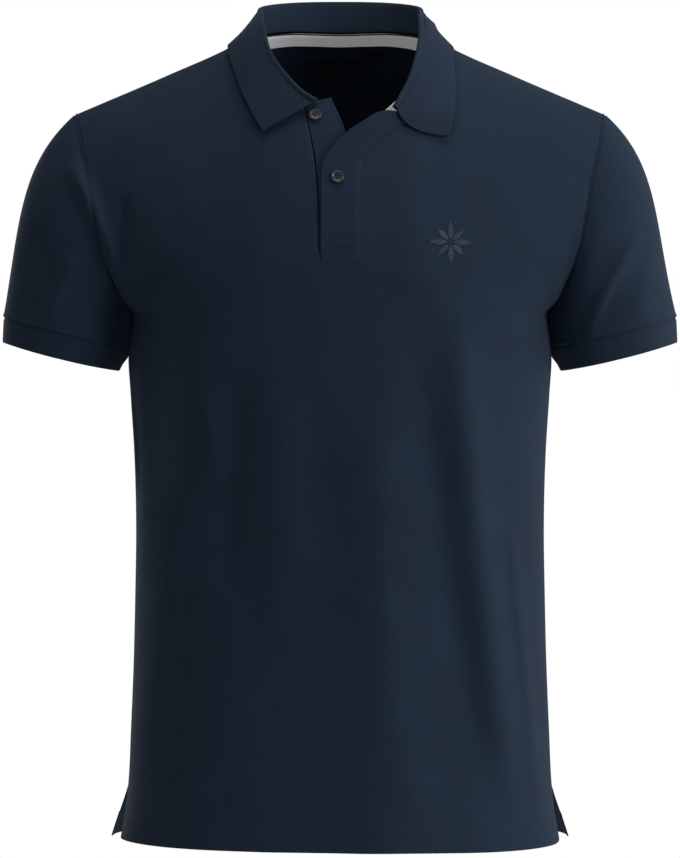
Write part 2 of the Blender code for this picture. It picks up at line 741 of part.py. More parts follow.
def make_collar(trees, edge_line):
    middle = collar_grid(trees, edge_line)
    normals = sheet_normals(middle, closed=False)
    shift = normals * RIB_WALL / 2
    return cloth_wall("collar", middle + shift, middle - shift, "rib")


def over(trees, point, normal, gap):
    """Point moved along a normal until it lies a gap outside the cloth under it."""
    start = Vector(point) + Vector(normal) * PROBE
    height = -1.0
    for tree in trees:
        hit, _, _, _ = tree.ray_cast(start, -Vector(normal), 2 * PROBE)
        if hit is not None:
            height = max(height, (hit - Vector(point)).dot(Vector(normal)))
    return point + normal * (max(height, 0.0) + gap)


def under(tree, point, normal, gap):
    """Point moved in until it lies a gap inside the cloth."""
    start = Vector(point) - Vector(normal) * PROBE
    hit, _, _, _ = tree.ray_cast(start, Vector(normal), 2 * PROBE)
    return np.array(hit) - normal * gap


def strip_points(table, columns):
    """(x, z, roll) across a placket strip, row by row from its foot."""
    rows = along([(r.free_x, r.free_z, 0.0, r.sewn_x, r.sewn_z, r.roll) for r in table],
                 len(table) + 3)
    for free_x, free_z, _, sewn_x, sewn_z, roll in rows:
        line = []
        for c in range(columns + 1):
            share = c / columns
            x = free_x * (1 - share) + sewn_x * share
            z = free_z * (1 - share) + sewn_z * share
            line.append((x, z, roll * (1 - share) ** 1.5))
        yield line


def make_strip(name, table, trees):
    """Placket strip: over the cloth below it, or level with the front where there is none."""
    outer = []
    inner = []
    for line in strip_points(table, 3):
        base = [(on_panel(x, z, "front"), panel_normal(x, z, "front"), roll)
                for x, z, roll in line]
        if trees:
            low = [over(trees, p, n, SEAM_GAP * 1.5 + roll) for p, n, roll in base]
        else:
            low = [p - n * PLACKET_WALL for p, n, _ in base]
        inner.append(low)
        outer.append([p + n * PLACKET_WALL for p, (_, n, _) in zip(low, base)])
    outer = np.array(outer)
    return cloth_wall(name, outer, np.array(inner), "pique"), outer


def inside_sheet(name, lines, wall, tree, material_name):
    """Thin piece lying on the inside of the back; lines hold (x, z) pairs."""
    outer = []
    inner = []
    for line in lines:
        normals = [panel_normal(x, z, "back") for x, z in line]
        high = [under(tree, on_panel(x, z, "back"), n, 2 * SEAM_GAP)
                for (x, z), n in zip(line, normals)]
        outer.append(high)
        inner.append([p - n * wall for p, n in zip(high, normals)])
    return cloth_wall(name, np.array(outer), np.array(inner), material_name)


def make_tape(tree):
    """Tape over the back neck seam, on the inside of the back panel."""
    half = [(x, z - TAPE_DROP) for x, z in back_neckline() if x < TAPE_REACH]
    line = [(-x, z) for x, z in half[:0:-1]] + half
    lines = [[(x, z), (x, z - TAPE_WIDTH)] for x, z in line]
    return inside_sheet("neck_tape", lines, TAPE_WALL, tree, "tape")


def make_label(name, left, right, top, foot, columns, tree):
    """Woven label lying on the inside of the back."""
    lines = []
    for c in range(columns + 1):
        x = left + (right - left) * c / columns
        lines.append([(x, top), (x, (top + foot) / 2), (x, foot)])
    return inside_sheet(name, lines, LABEL_WALL, tree, "label")


# ---------------------------------------------------------------- buttons

def make_button(name, x, z, lift):
    """Four-hole shirt button: a turned disc with a raised rim, on the front."""
    normal = Vector(panel_normal(x, z, "front"))
    seat = Vector(on_panel(x, z, "front")) + normal * lift
    profile = ((0.0, 0.0), (0.88, 0.0), (1.0, 0.35), (0.97, 0.85), (0.86, 1.0),
               (0.70, 0.72), (0.0, 0.66))
    form = bmesh.new()
    verts = [form.verts.new((r * BUTTON_RADIUS, 0.0, h * BUTTON_THICKNESS)) for r, h in profile]
    edges = [form.edges.new(pair) for pair in zip(verts, verts[1:])]
    bmesh.ops.spin(form, geom=verts + edges, cent=(0, 0, 0), axis=(0, 0, 1),
                   angle=2 * math.pi, steps=20, use_merge=True)
    bmesh.ops.remove_doubles(form, verts=form.verts, dist=0.00001)
    bmesh.ops.recalc_face_normals(form, faces=form.faces)
    mesh = bpy.data.meshes.new(name)
    form.to_mesh(mesh)
    form.free()
    button = add_object(name, mesh, "button")
    button.location = seat
    button.rotation_euler = normal.to_track_quat("Z", "Y").to_euler()
    drill = bpy.data.meshes.new(name + "_drill")
    holes = bmesh.new()
    for turn in range(4):
        angle = math.pi / 4 + math.pi / 2 * turn
        made = bmesh.ops.create_cone(holes, cap_ends=True, segments=8, radius1=BUTTON_HOLE,
                                     radius2=BUTTON_HOLE, depth=0.01)
        shift = Vector((math.cos(angle), math.sin(angle), 0.0)) * BUTTON_HOLE_REACH
        bmesh.ops.translate(holes, verts=made["verts"], vec=shift)
    holes.to_mesh(drill)
    holes.free()
    cutter = bpy.data.objects.new(name + "_drill", drill)
    bpy.context.scene.collection.objects.link(cutter)
    cutter.hide_render = True
    cutter.display_type = "WIRE"
    cutter.location = seat
    cutter.rotation_euler = button.rotation_euler
    cut = button.modifiers.new("holes", "BOOLEAN")
    cut.operation = "DIFFERENCE"
    cut.solver = "EXACT"
    cut.object = cutter
    return button


# ---------------------------------------------------------------- the shirt

def panel_tree(piece):
    form = bmesh.new()
    form.from_mesh(piece.data)
    tree = BVHTree.FromBMesh(form)
    form.free()
    return tree


def main():
    for old in list(bpy.data.objects):
        bpy.data.objects.remove(old, do_unlink=True)
    front, slit = front_grid()
    back = back_grid()
    front_piece = make_panel("front", front, "front", slit)
    back_piece = make_panel("back", back, "back")
    round_count = 2 * UPPER_ROWS
    for name, hand in (("right", -1), ("left", 1)):
        make_sleeve("sleeve_" + name, front, back, hand)
        make_cuff("cuff_" + name, hand, round_count)
    placket_lift = PLACKET_WALL + 1.5 * SEAM_GAP
    lower, lower_sheet = make_strip("placket_under", UNDER_PLACKET, ())
    _, upper_sheet = make_strip("placket_top", TOP_PLACKET,
                                [panel_tree(front_piece), panel_tree(lower)])
    back_tree = panel_tree(back_piece)
    below_collar = [outer_tree(front, slit), outer_tree(back), outer_tree(lower_sheet),
                    outer_tree(upper_sheet)]
    make_collar(below_collar, neck_edge(front, back))
    make_tape(back_tree)
    make_label("neck_label", -0.0305, 0.0220, -0.0090, -0.0256, 6, back_tree)
    make_label("size_label", 0.0224, 0.0398, -0.0020, -0.0115, 2, back_tree)
    make_button("button_lower", -0.0022, -0.1340, placket_lift + BUTTON_LIFT)
    make_button("button_upper", -0.0215, -0.0780, BUTTON_LIFT)


main()
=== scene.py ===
"""Looks of the polo shirt: knitted panels, collar, plackets, trims and stitching.

Metres, +Z up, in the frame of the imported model. The front faces -Y and +X is the
wearer's left. "Right" and "left" in names of pieces are the wearer's.
"""
import json
import math
from collections import namedtuple

import bmesh
import bpy
import numpy as np
from bpy.props import FloatProperty, FloatVectorProperty, IntProperty, PointerProperty
from mathutils import Matrix, Vector
from mathutils.bvhtree import BVHTree

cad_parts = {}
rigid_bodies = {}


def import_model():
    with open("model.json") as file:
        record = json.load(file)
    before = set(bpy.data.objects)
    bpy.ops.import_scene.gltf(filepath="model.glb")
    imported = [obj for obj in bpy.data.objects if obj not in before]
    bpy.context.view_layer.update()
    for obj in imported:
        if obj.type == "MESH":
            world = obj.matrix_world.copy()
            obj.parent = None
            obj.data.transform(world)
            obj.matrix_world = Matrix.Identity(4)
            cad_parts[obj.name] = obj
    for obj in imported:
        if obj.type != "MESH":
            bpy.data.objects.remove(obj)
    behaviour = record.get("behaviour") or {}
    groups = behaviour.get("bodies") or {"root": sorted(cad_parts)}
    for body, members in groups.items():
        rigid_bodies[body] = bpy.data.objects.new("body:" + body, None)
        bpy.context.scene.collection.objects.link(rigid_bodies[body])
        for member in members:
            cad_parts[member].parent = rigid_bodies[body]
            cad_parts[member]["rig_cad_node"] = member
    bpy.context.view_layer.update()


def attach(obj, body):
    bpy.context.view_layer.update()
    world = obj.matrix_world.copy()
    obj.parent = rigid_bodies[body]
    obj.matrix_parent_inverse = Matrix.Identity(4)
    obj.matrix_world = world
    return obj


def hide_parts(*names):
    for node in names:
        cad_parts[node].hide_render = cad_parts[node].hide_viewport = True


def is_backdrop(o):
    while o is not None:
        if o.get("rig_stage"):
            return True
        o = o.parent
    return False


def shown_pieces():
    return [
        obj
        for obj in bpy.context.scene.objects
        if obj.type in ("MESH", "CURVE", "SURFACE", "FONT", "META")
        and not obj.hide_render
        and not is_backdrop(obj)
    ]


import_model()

bl_info = {
    "name": "Polo Shirt",
    "version": (1, 0, 0),
    "blender": (4, 5, 0),
    "location": "View3D > Sidebar > Polo Shirt",
    "description": "Builds a knitted polo shirt over its solid model",
    "category": "Add Mesh",
}

# ---------------------------------------------------------------- sizes

def rows_of(kind, *rows):
    """A table: each row of values under the columns of its kind."""
    return tuple(kind(*row) for row in rows)


SEAM_GAP = 0.0003           # between pieces that meet
SEWN_GAP = 0.00006          # between front and back where they are sewn tight

# Body form
BODY_POWER = 2.2            # 2 is an ellipse; more is squarer
FRONT_ROUND = (0.24, 1.5)   # fall of the chest below the shoulder line: reach, power
BACK_ROUND = (0.115, 2.0)
ARMPIT_Z = -0.248
SHOULDER_X = 0.2375
SHOULDER_Z = -0.0685
NECK_X = 0.0805
ARMHOLE_INSET = 0.24        # how far the armhole cuts into the body's full width
WIDENING_REACH = 0.050      # height each way over which the chest widens at the armpit
WIDENING_POWER = 7
VENT_TOP = -0.670
VENT_SPREAD = 0.005         # how far a vent stands open at the hem

# Centre front
SLIT_FOOT = -0.198
SLIT_LEFT = -0.0185
SLIT_RIGHT = 0.0150
SLIT_SHARE = 0.5 - 0.5 * math.cos(math.pi * 4 / 11)   # share of the upper rows below the slit
NECK_SHARE = 5 / 11                                   # share of the columns along the neckline

# Neck
NECK_BACK_DEPTH = 0.064
NECK_LEVEL_HALF = 0.300
FOLD_RADIUS = 0.0018
COLLAR_CLEARANCE = 0.0014
STAND_LIFT = 0.0012         # how far the stand starts above the neck seam
FALL_ARCH = 0.0012          # rise of the fall between its fold and its edge
TAPE_WIDTH = 0.0097
TAPE_RISE = 0.0010          # how far the tape stands over the neck seam

# Sleeve and cuff
CUFF_HEIGHT = 0.024
SLEEVE_START_DIRECTION = (0.75, 0.0, -0.66)
UNDERARM_DIRECTION = (0.30, 0.0, -0.95)
SLEEVE_END_DIRECTION = {-1: (0.17, 0.0, -0.985), 1: (0.24, 0.0, -0.970)}  # right, left
SLEEVE_FLARE = 0.22
HANDLES = (0.35, 0.45)      # reach of the sleeve's curve at the armhole and at the cuff
HANDS = (("right", -1), ("left", 1))
ROUND_CELLS = 132           # cells round a sleeve and a cuff

REST_GAP = 0.0005           # further gap between a sleeve and the side of the body it hangs against
PRESSED_RISE = 0.00045      # how far a pressed and sewn edge stands above the cloth below
SEAM_SINK = 0.0009          # how deep the cloth sinks into a seam
SEAM_REACH = 0.0018         # how far beside a seam it does
HEM_RISE = 0.00045          # how far the folded hem stands above the panel
ALLOWANCE_RISE = 0.0026     # how far a sleeve's seam edge is turned up inside the body
ALLOWANCE_DEPTH = 0.0024    # and how far in
SLEEVE_ROLL = 0.0005        # how far a sleeve swells above its cuff
SLEEVE_TUCK = 0.0007        # how far its very end is drawn in again
CUFF_BEVEL = 0.0004         # how far a cuff thins to its edge
CUFF_INSET = 0.0002         # how far a cuff lies under the sleeve's end
BOX_DEPTH = 0.0005          # depth of the grooves of the placket's sewn lines
BOX_REACH = 0.0011
PROBE = 0.02                # how far to look along a normal for other cloth
FAR = 0.5

# Half widths and depths of the body form at its levels
Section = namedtuple("Section", "z front_half back_half front_depth back_depth")
TORSO = rows_of(
    Section,
    (-0.718, 0.1965, 0.2055, 0.1225, 0.1195),
    (-0.697, 0.1930, 0.1987, 0.1222, 0.1192),
    (-0.670, 0.1902, 0.1902, 0.1220, 0.1185),
    (-0.620, 0.1878, 0.1878, 0.1210, 0.1165),
    (-0.560, 0.1854, 0.1854, 0.1200, 0.1135),
    (-0.500, 0.1840, 0.1840, 0.1195, 0.1110),
    (-0.440, 0.1832, 0.1832, 0.1200, 0.1105),
    (-0.370, 0.1850, 0.1850, 0.1230, 0.1135),
    (-0.320, 0.1882, 0.1882, 0.1255, 0.1180),
    (-0.285, 0.1900, 0.1900, 0.1262, 0.1215),
    (-0.248, 0.1850, 0.1850, 0.1260, 0.1245),
    (-0.150, 0.1850, 0.1850, 0.1255, 0.1260),
    (0.050, 0.1850, 0.1850, 0.1250, 0.1250),
)

EdgePoint = namedtuple("EdgePoint", "x z")
SHOULDER_LINE = rows_of(
    EdgePoint,
    (-0.0550, 0.0180),
    (-0.0350, 0.0240),
    (0.0000, 0.0270),
    (0.0350, 0.0240),
    (0.0550, 0.0180),
    (0.0700, 0.0095),
    (NECK_X, 0.0020),
    (0.0995, -0.0085),
    (0.1540, -0.0330),
    (SHOULDER_X, SHOULDER_Z),
    (0.3500, -0.1160),
)

ArmholePoint = namedtuple("ArmholePoint", "z x")
ARMHOLE = rows_of(
    ArmholePoint,
    (-0.2480, 0.1850),
    (-0.2400, 0.1925),
    (-0.2230, 0.2010),
    (-0.1910, 0.2115),
    (-0.1600, 0.2180),
    (-0.1280, 0.2240),
    (-0.1000, 0.2310),
    (SHOULDER_Z, SHOULDER_X),
)

NECK_RIGHT_SIDE = rows_of(
    EdgePoint,
    (-0.0325, -0.0660),
    (-0.0500, -0.0560),
    (-0.0660, -0.0350),
    (-NECK_X, 0.0020),
)
NECK_LEFT_SIDE = rows_of(
    EdgePoint,
    (0.0535, -0.0830),
    (0.0680, -0.0600),
    (0.0765, -0.0330),
    (NECK_X, 0.0020),
)
EDGE_OF_RIGHT_SIDE = rows_of(
    EdgePoint,
    (SLIT_LEFT, SLIT_FOOT),
    (-0.0190, -0.1600),
    (-0.0228, -0.1160),
    (-0.0325, -0.0660),
)
EDGE_OF_LEFT_SIDE = rows_of(
    EdgePoint,
    (SLIT_RIGHT, SLIT_FOOT),
    (0.0150, -0.1500),
    (0.0190, -0.1150),
    (0.0330, -0.0950),
    (0.0535, -0.0830),
)

StripRow = namedtuple("StripRow", "free_x free_z sewn_x sewn_z roll")
TOP_PLACKET = rows_of(
    StripRow,
    (-0.0164, -0.2080, 0.0180, -0.2080, 0.0000),
    (-0.0164, -0.1800, 0.0180, -0.1800, 0.0006),
    (-0.0164, -0.1520, 0.0180, -0.1500, 0.0010),
    (-0.0162, -0.1340, 0.0186, -0.1310, 0.0014),
    (-0.0131, -0.1170, 0.0212, -0.1170, 0.0022),
    (-0.0052, -0.1067, 0.0262, -0.1080, 0.0034),
    (0.0061, -0.0955, 0.0325, -0.1010, 0.0048),
    (0.0201, -0.0862, 0.0400, -0.0955, 0.0056),
    (0.0350, -0.0775, 0.0470, -0.0905, 0.0055),
    (0.0462, -0.0758, 0.0520, -0.0865, 0.0035),
    (0.0530, -0.0765, 0.0570, -0.0855, 0.0015),
)
UNDER_PLACKET = rows_of(
    StripRow,
    (0.0138, -0.1975, -0.0178, -0.1975, 0.0),
    (0.0138, -0.1600, -0.0180, -0.1600, 0.0),
    (0.0112, -0.1220, -0.0216, -0.1160, 0.0),
    (0.0053, -0.0940, -0.0262, -0.0925, 0.0),
    (-0.0079, -0.0612, -0.0312, -0.0668, 0.0),
)
BOX_LINES = (-0.1880, -0.1950)      # levels of the sewn lines across the placket foot
UNDER_PLACKET_TOP = rows_of(
    EdgePoint,
    (-0.0205, -0.0638),
    (-0.0320, -0.0660),
)

CollarRow = namedtuple("CollarRow", "seam fold edge bow", defaults=((0.0, 0.0, 0.0),))
COLLAR = rows_of(
    CollarRow,
    ((-0.0215, -0.0805, -0.0622), (-0.0212, -0.0885, -0.0650), (-0.0674, -0.0885, -0.0915)),
    ((-0.0345, -0.0785, -0.0640), (-0.0340, -0.0830, -0.0560), (-0.0735, -0.0815, -0.0810)),
    ((-0.0500, -0.0715, -0.0545), (-0.0480, -0.0720, -0.0405), (-0.0840, -0.0655, -0.0600)),
    ((-0.0660, -0.0560, -0.0335), (-0.0620, -0.0545, -0.0185), (-0.0945, -0.0410, -0.0320)),
    ((-0.0762, -0.0310, -0.0125), (-0.0685, -0.0300, 0.0060), (-0.1000, -0.0170, -0.0110)),
    ((-0.0800, -0.0020, 0.0045), (-0.0718, 0.0000, 0.0220), (-0.0968, 0.0040, -0.0050)),
    ((-0.0725, 0.0280, 0.0072), (-0.0716, 0.0320, 0.0310), (-0.0915, 0.0420, -0.0060)),
    ((-0.0480, 0.0530, 0.0112), (-0.0500, 0.0590, 0.0376), (-0.0660, 0.0770, -0.0050)),
    ((0.0000, 0.0655, 0.0125), (0.0000, 0.0720, 0.0405), (0.0000, 0.0950, -0.0040)),
    ((0.0480, 0.0530, 0.0112), (0.0500, 0.0590, 0.0376), (0.0660, 0.0770, -0.0050)),
    ((0.0725, 0.0280, 0.0072), (0.0722, 0.0320, 0.0310), (0.0920, 0.0420, -0.0060)),
    ((0.0800, -0.0020, 0.0045), (0.0728, 0.0000, 0.0220), (0.0965, 0.0040, -0.0050)),
    ((0.0790, -0.0310, -0.0125), (0.0722, -0.0300, 0.0060), (0.1010, -0.0180, -0.0125)),
    ((0.0755, -0.0530, -0.0330), (0.0683, -0.0550, -0.0220), (0.1018, -0.0400, -0.0350)),
    ((0.0690, -0.0690, -0.0550), (0.0616, -0.0700, -0.0440), (0.1015, -0.0580, -0.0590)),
    ((0.0610, -0.0775, -0.0690), (0.0545, -0.0800, -0.0590), (0.0995, -0.0715, -0.0800)),
    ((0.0535, -0.0805, -0.0790), (0.0485, -0.0880, -0.0700), (0.0950, -0.0812, -0.0955),
     (-0.009, -0.002, -0.006)),
)

CuffRing = namedtuple("CuffRing", "x y z half_width half_depth tilt")
CUFF_SAG = 0.0026           # how far the front and back of a cuff hang lower
CUFF_TOP = CuffRing(0.2455, 0.004, -0.2651, 0.0591, 0.0560, math.radians(13.6))
CUFF_FOOT = CuffRing(0.2513, 0.003, -0.2870, 0.0542, 0.0515, math.radians(13.8))

# Folds: soft ridges (height above 0) and troughs (below 0), each on a bowed line
Fold = namedtuple("Fold", "side start end bow width height")
FOLDS = rows_of(
    Fold,
    # right sleeve, front
    ("front", (-0.2420, -0.1120), (-0.1960, -0.2280), 0.005, 0.0080, 0.0080),
    ("front", (-0.2336, -0.2000), (-0.2560, -0.2560), -0.002, 0.0055, 0.0030),
    ("front", (-0.2700, -0.1700), (-0.2580, -0.2300), 0.002, 0.0070, -0.0020),
    # right chest beside the armhole
    ("front", (-0.1900, -0.1450), (-0.1900, -0.2150), 0.000, 0.0055, -0.0038),
    ("front", (-0.1760, -0.2050), (-0.1700, -0.4200), 0.004, 0.0260, -0.0190),
    ("front", (-0.1350, -0.2600), (-0.1150, -0.3800), 0.003, 0.0110, 0.0025),
    # left sleeve, front
    ("front", (0.2700, -0.1760), (0.2180, -0.2720), -0.005, 0.0060, 0.0042),
    ("front", (0.2090, -0.1780), (0.1960, -0.2480), -0.002, 0.0045, -0.0032),
    ("front", (0.2240, -0.1650), (0.2060, -0.2380), -0.002, 0.0045, -0.0012),
    ("front", (0.2860, -0.1950), (0.2620, -0.2560), -0.002, 0.0080, 0.0022),
    # torso
    ("front", (-0.1380, -0.3850), (-0.1700, -0.6300), 0.000, 0.0140, 0.0055),
    ("front", (-0.0860, -0.3000), (-0.1010, -0.5000), 0.000, 0.0140, -0.0038),
    ("front", (-0.0540, -0.3150), (-0.0440, -0.5500), 0.000, 0.0210, 0.0042),
    ("front", (0.0280, -0.2900), (0.0470, -0.8200), 0.000, 0.0450, 0.0090),
    ("front", (0.0350, -0.3300), (0.0400, -0.6300), 0.000, 0.0200, 0.0030),
    ("front", (0.0680, -0.2800), (0.1240, -0.6400), -0.007, 0.0140, -0.0032),
    ("front", (0.1010, -0.2400), (0.1520, -0.6750), -0.004, 0.0195, 0.0115),
    ("front", (0.1490, -0.4300), (0.1765, -0.6850), 0.000, 0.0065, 0.0042),
    # back
    ("back", (0.2440, -0.1250), (0.1900, -0.2420), -0.004, 0.0090, -0.0070),
    ("back", (-0.2460, -0.1300), (-0.1900, -0.2440), 0.005, 0.0085, -0.0075),
    ("back", (0.2680, -0.1750), (0.2250, -0.2550), -0.003, 0.0075, -0.0035),
    ("back", (-0.2700, -0.1800), (-0.2280, -0.2580), 0.003, 0.0070, -0.0035),
    ("back", (0.1300, -0.1900), (0.1850, -0.2750), -0.006, 0.0130, -0.0060),
    ("back", (-0.1250, -0.2000), (-0.1840, -0.2850), 0.006, 0.0130, -0.0055),
    ("back", (0.1150, -0.2650), (0.1500, -0.5600), -0.006, 0.0180, -0.0060),
    ("back", (-0.1200, -0.2700), (-0.1480, -0.5300), 0.005, 0.0180, -0.0055),
    ("back", (0.0500, -0.3000), (0.0850, -0.6500), -0.003, 0.0240, 0.0060),
    ("back", (-0.0450, -0.3200), (-0.0800, -0.6700), 0.004, 0.0240, 0.0055),
    ("back", (0.0050, -0.3600), (-0.0080, -0.6600), 0.003, 0.0220, -0.0035),
    ("back", (0.1520, -0.3000), (0.1850, -0.6600), -0.005, 0.0160, 0.0070),
    ("back", (-0.1540, -0.3000), (-0.1860, -0.6700), 0.005, 0.0160, 0.0065),
)
HEM_DROOP = 0.0034          # how far the left front hangs lower
FOLD_SIDES = (0.006, 0.036) # distance from the side seams at which folds start and are full

CLOTH_UV = "cloth"


# ---------------------------------------------------------------- settings of the add-on

class PoloSizes(bpy.types.PropertyGroup):
    """Sizes of the cloth, stitches and trims."""
    panel_wall: FloatProperty(
        name="Panel thickness", description="Thickness of the knitted panels",
        default=0.0012, unit="LENGTH")
    rib_wall: FloatProperty(
        name="Rib thickness", description="Thickness of the flat-knit collar and cuffs",
        default=0.0016, unit="LENGTH")
    placket_wall: FloatProperty(
        name="Placket thickness", description="Thickness of each folded placket",
        default=0.0012, unit="LENGTH")
    pique_pitch: FloatProperty(
        name="Knit pitch", description="Distance between two cells of the pique knit",
        default=0.0014, unit="LENGTH")
    rib_pitch: FloatProperty(
        name="Rib pitch", description="Distance between two ribs of the collar and cuffs",
        default=0.0011, unit="LENGTH")
    hem_height: FloatProperty(
        name="Hem height", description="Height of the folded and stitched hem",
        default=0.0220, unit="LENGTH")
    stitch_length: FloatProperty(
        name="Stitch length", description="Length of one stitch",
        default=0.0026, unit="LENGTH")
    stitch_gap: FloatProperty(
        name="Stitch gap", description="Gap between two stitches in a row",
        default=0.0007, unit="LENGTH")
    stitch_radius: FloatProperty(
        name="Thread radius", description="Half thickness of the sewing thread",
        default=0.00022, unit="LENGTH")
    fold_scale: FloatProperty(
        name="Fold scale", description="Height of the folds, 1 as worn",
        default=1.0)
    emblem_radius: FloatProperty(
        name="Flower radius", description="Half width of the embroidered flower",
        default=0.0185, unit="LENGTH")
    emblem_petals: IntProperty(
        name="Petals", description="Number of petals of the embroidered flower",
        default=8)
    button_radius: FloatProperty(
        name="Button radius", description="Half width of a button",
        default=0.0056, unit="LENGTH")


class PoloColours(bpy.types.PropertyGroup):
    """Colours of the yarns and trims."""
    pique: FloatVectorProperty(
        name="Pique", description="Yarn of the knitted panels",
        default=(0.0089, 0.0221, 0.0448), subtype="COLOR")
    rib: FloatVectorProperty(
        name="Rib", description="Yarn of the collar and cuffs",
        default=(0.0091, 0.0224, 0.0453), subtype="COLOR")
    tape: FloatVectorProperty(
        name="Neck tape", description="Cotton tape over the neck seam",
        default=(0.92, 0.92, 0.93), subtype="COLOR")
    label: FloatVectorProperty(
        name="Label", description="Satin labels at the back of the neck",
        default=(0.0100, 0.0150, 0.0260), subtype="COLOR")
    button: FloatVectorProperty(
        name="Button", description="Smoky pearl of the buttons",
        default=(0.036, 0.035, 0.036), subtype="COLOR")
    thread: FloatVectorProperty(
        name="Thread", description="Sewing thread",
        default=(0.0140, 0.0270, 0.0520), subtype="COLOR")
    embroidery: FloatVectorProperty(
        name="Embroidery", description="Embroidery thread of the flower",
        default=(0.0240, 0.0440, 0.0800), subtype="COLOR")


class PoloStage(bpy.types.PropertyGroup):
    """Camera, floor and lights."""
    camera_distance: FloatProperty(
        name="Camera distance", description="Distance of the camera from the centre line",
        default=3.0, unit="LENGTH")
    camera_height: FloatProperty(
        name="Camera height", description="Level of the camera in the shirt's frame",
        default=-0.352, unit="LENGTH")
    lens: FloatProperty(
        name="Lens", description="Focal length of the camera in millimetres",
        default=139.9)
    floor_level: FloatProperty(
        name="Floor level", description="Level of the floor under the hanging shirt",
        default=-1.05, unit="LENGTH")
    key_power: FloatProperty(
        name="Key light", description="Power of the soft light before the left side",
        default=37.5, unit="POWER")
    side_power: FloatProperty(
        name="Side light", description="Power of the soft light at the left side", default=21.0,
        unit="POWER")
    rim_power: FloatProperty(
        name="Rim light", description="Power of the light behind the right side", default=13.0,
        unit="POWER")
    top_power: FloatProperty(
        name="Top light", description="Power of the light overhead", default=19.5, unit="POWER")
    ambient: FloatProperty(
        name="Ambient", description="Brightness of the surroundings in the cloth's light",
        default=0.21)


def sizes():
    return bpy.context.scene.polo_sizes


def colours():
    return bpy.context.scene.polo_colours


# ---------------------------------------------------------------- curves and tables

def smooth(knots, values, place):
    """Values at places on the smooth curve through (knot, value) pairs."""
    knots = np.asarray(knots, dtype=float)
    values = np.asarray(values, dtype=float)
    slopes = np.gradient(values, knots, axis=0)
    place = np.clip(np.asarray(place, dtype=float), knots[0], knots[-1])
    i = np.clip(np.searchsorted(knots, place) - 1, 0, len(knots) - 2)
    step = knots[i + 1] - knots[i]
    t = (place - knots[i]) / step
    if values.ndim > 1:
        step = step[..., None]
        t = t[..., None]
    start = (1 + 2 * t) * (1 - t) ** 2 * values[i] + t * (1 - t) ** 2 * step * slopes[i]
    end = t * t * (3 - 2 * t) * values[i + 1] + t * t * (t - 1) * step * slopes[i + 1]
    return start + end


def along_at(points, shares):
    """Points at shares of the length of the smooth curve through the given ones."""
    points = np.asarray(points, dtype=float)
    steps = np.linalg.norm(np.diff(points[:, :3], axis=0), axis=1)
    knots = np.concatenate(([0.0], np.cumsum(steps)))
    return smooth(knots, points, knots[-1] * np.asarray(shares, dtype=float))


def edge_at(table, shares):
    """(x, z, 0) at shares of the length of an edge given by its points."""
    return along_at([(x, z, 0.0) for x, z in table], shares)


def column(table, name):
    return [getattr(row, name) for row in table]


def torso(name, z):
    return smooth(column(TORSO, "z"), column(TORSO, name), z)


def shoulder_z(x):
    return smooth(column(SHOULDER_LINE, "x"), column(SHOULDER_LINE, "z"), np.abs(x))


def armhole_x(z):
    return smooth(column(ARMHOLE, "z"), column(ARMHOLE, "x"), z)


def unit(vectors):
    vectors = np.asarray(vectors, dtype=float)
    lengths = np.linalg.norm(vectors, axis=-1, keepdims=True)
    return vectors / np.maximum(lengths, 1e-12)


def ease(low, high, value):
    """0 below low, 1 above high, and a soft step between."""
    t = np.clip((value - low) / (high - low), 0.0, 1.0)
    return t * t * (3 - 2 * t)


def spread(count, start_close=0, end_close=0, close=0.0035):
    """Even shares from 0 to 1 with a few close ones added at either end."""
    shares = list(np.linspace(0.0, 1.0, count + 1))
    for k in range(1, start_close + 1):
        shares.append(close * k)
    for k in range(1, end_close + 1):
        shares.append(1.0 - close * k)
    return np.unique(np.round(shares, 6))


# ---------------------------------------------------------------- the body form

def bell(distance, width):
    """1 on a line, falling smoothly to nothing at about twice a width beside it."""
    return np.exp(-(distance / width) ** 2)


def hem_level():
    """Level of the top of the folded hem."""
    return TORSO[0].z + sizes().hem_height


def vent_share(z):
    """0 at the top of the vents and above, 1 at the hem's edge."""
    return np.clip((VENT_TOP - z) / (VENT_TOP - TORSO[0].z), 0.0, 1.0)


def body_wave(turns):
    """Share of the half width at turns of the body's oval, from -1 to 1."""
    wave = np.sin(turns)
    return np.sign(wave) * np.abs(wave) ** (2 / BODY_POWER)


def facing_of(side):
    return -1.0 if side == "front" else 1.0


def full_width(z, side):
    """Half width of the body form. Above the armpit it is wider than the cut panel."""
    height = np.clip((z - ARMPIT_Z) / (SHOULDER_Z - ARMPIT_Z), 0.0, 1.0)
    cut = 1.0 - ARMHOLE_INSET * (1.0 - (1.0 - height) ** 2)
    upper = armhole_x(np.minimum(z, SHOULDER_Z)) / cut
    return np.where(z <= ARMPIT_Z, torso(side + "_half", z), upper)


def panel_width(z, side):
    return np.where(z <= ARMPIT_Z, torso(side + "_half", z), armhole_x(np.minimum(z, SHOULDER_Z)))


def surface_y(x, drop, side):
    """Depth of the outer surface at x and at a drop below the shoulder line."""
    z = shoulder_z(x) - drop
    beside = np.minimum(np.abs(x) / panel_width(z, side), 1.0) ** WIDENING_POWER
    mean = sum(full_width(z + WIDENING_REACH * k / 8, side) for k in range(-8, 9)) / 17
    width = mean * (1 - beside) + full_width(z, side) * beside
    across = np.minimum(np.abs(x) / width, 1.0)
    arch = (1.0 - across ** BODY_POWER) ** (1.0 / BODY_POWER)
    reach, power = FRONT_ROUND if side == "front" else BACK_ROUND
    fall = np.clip(drop / reach, 0.0, 1.0)
    rounding = (1.0 - (1.0 - fall) ** power) ** (1.0 / power)
    return facing_of(side) * (torso(side + "_depth", z) * arch * rounding + SEWN_GAP / 2)


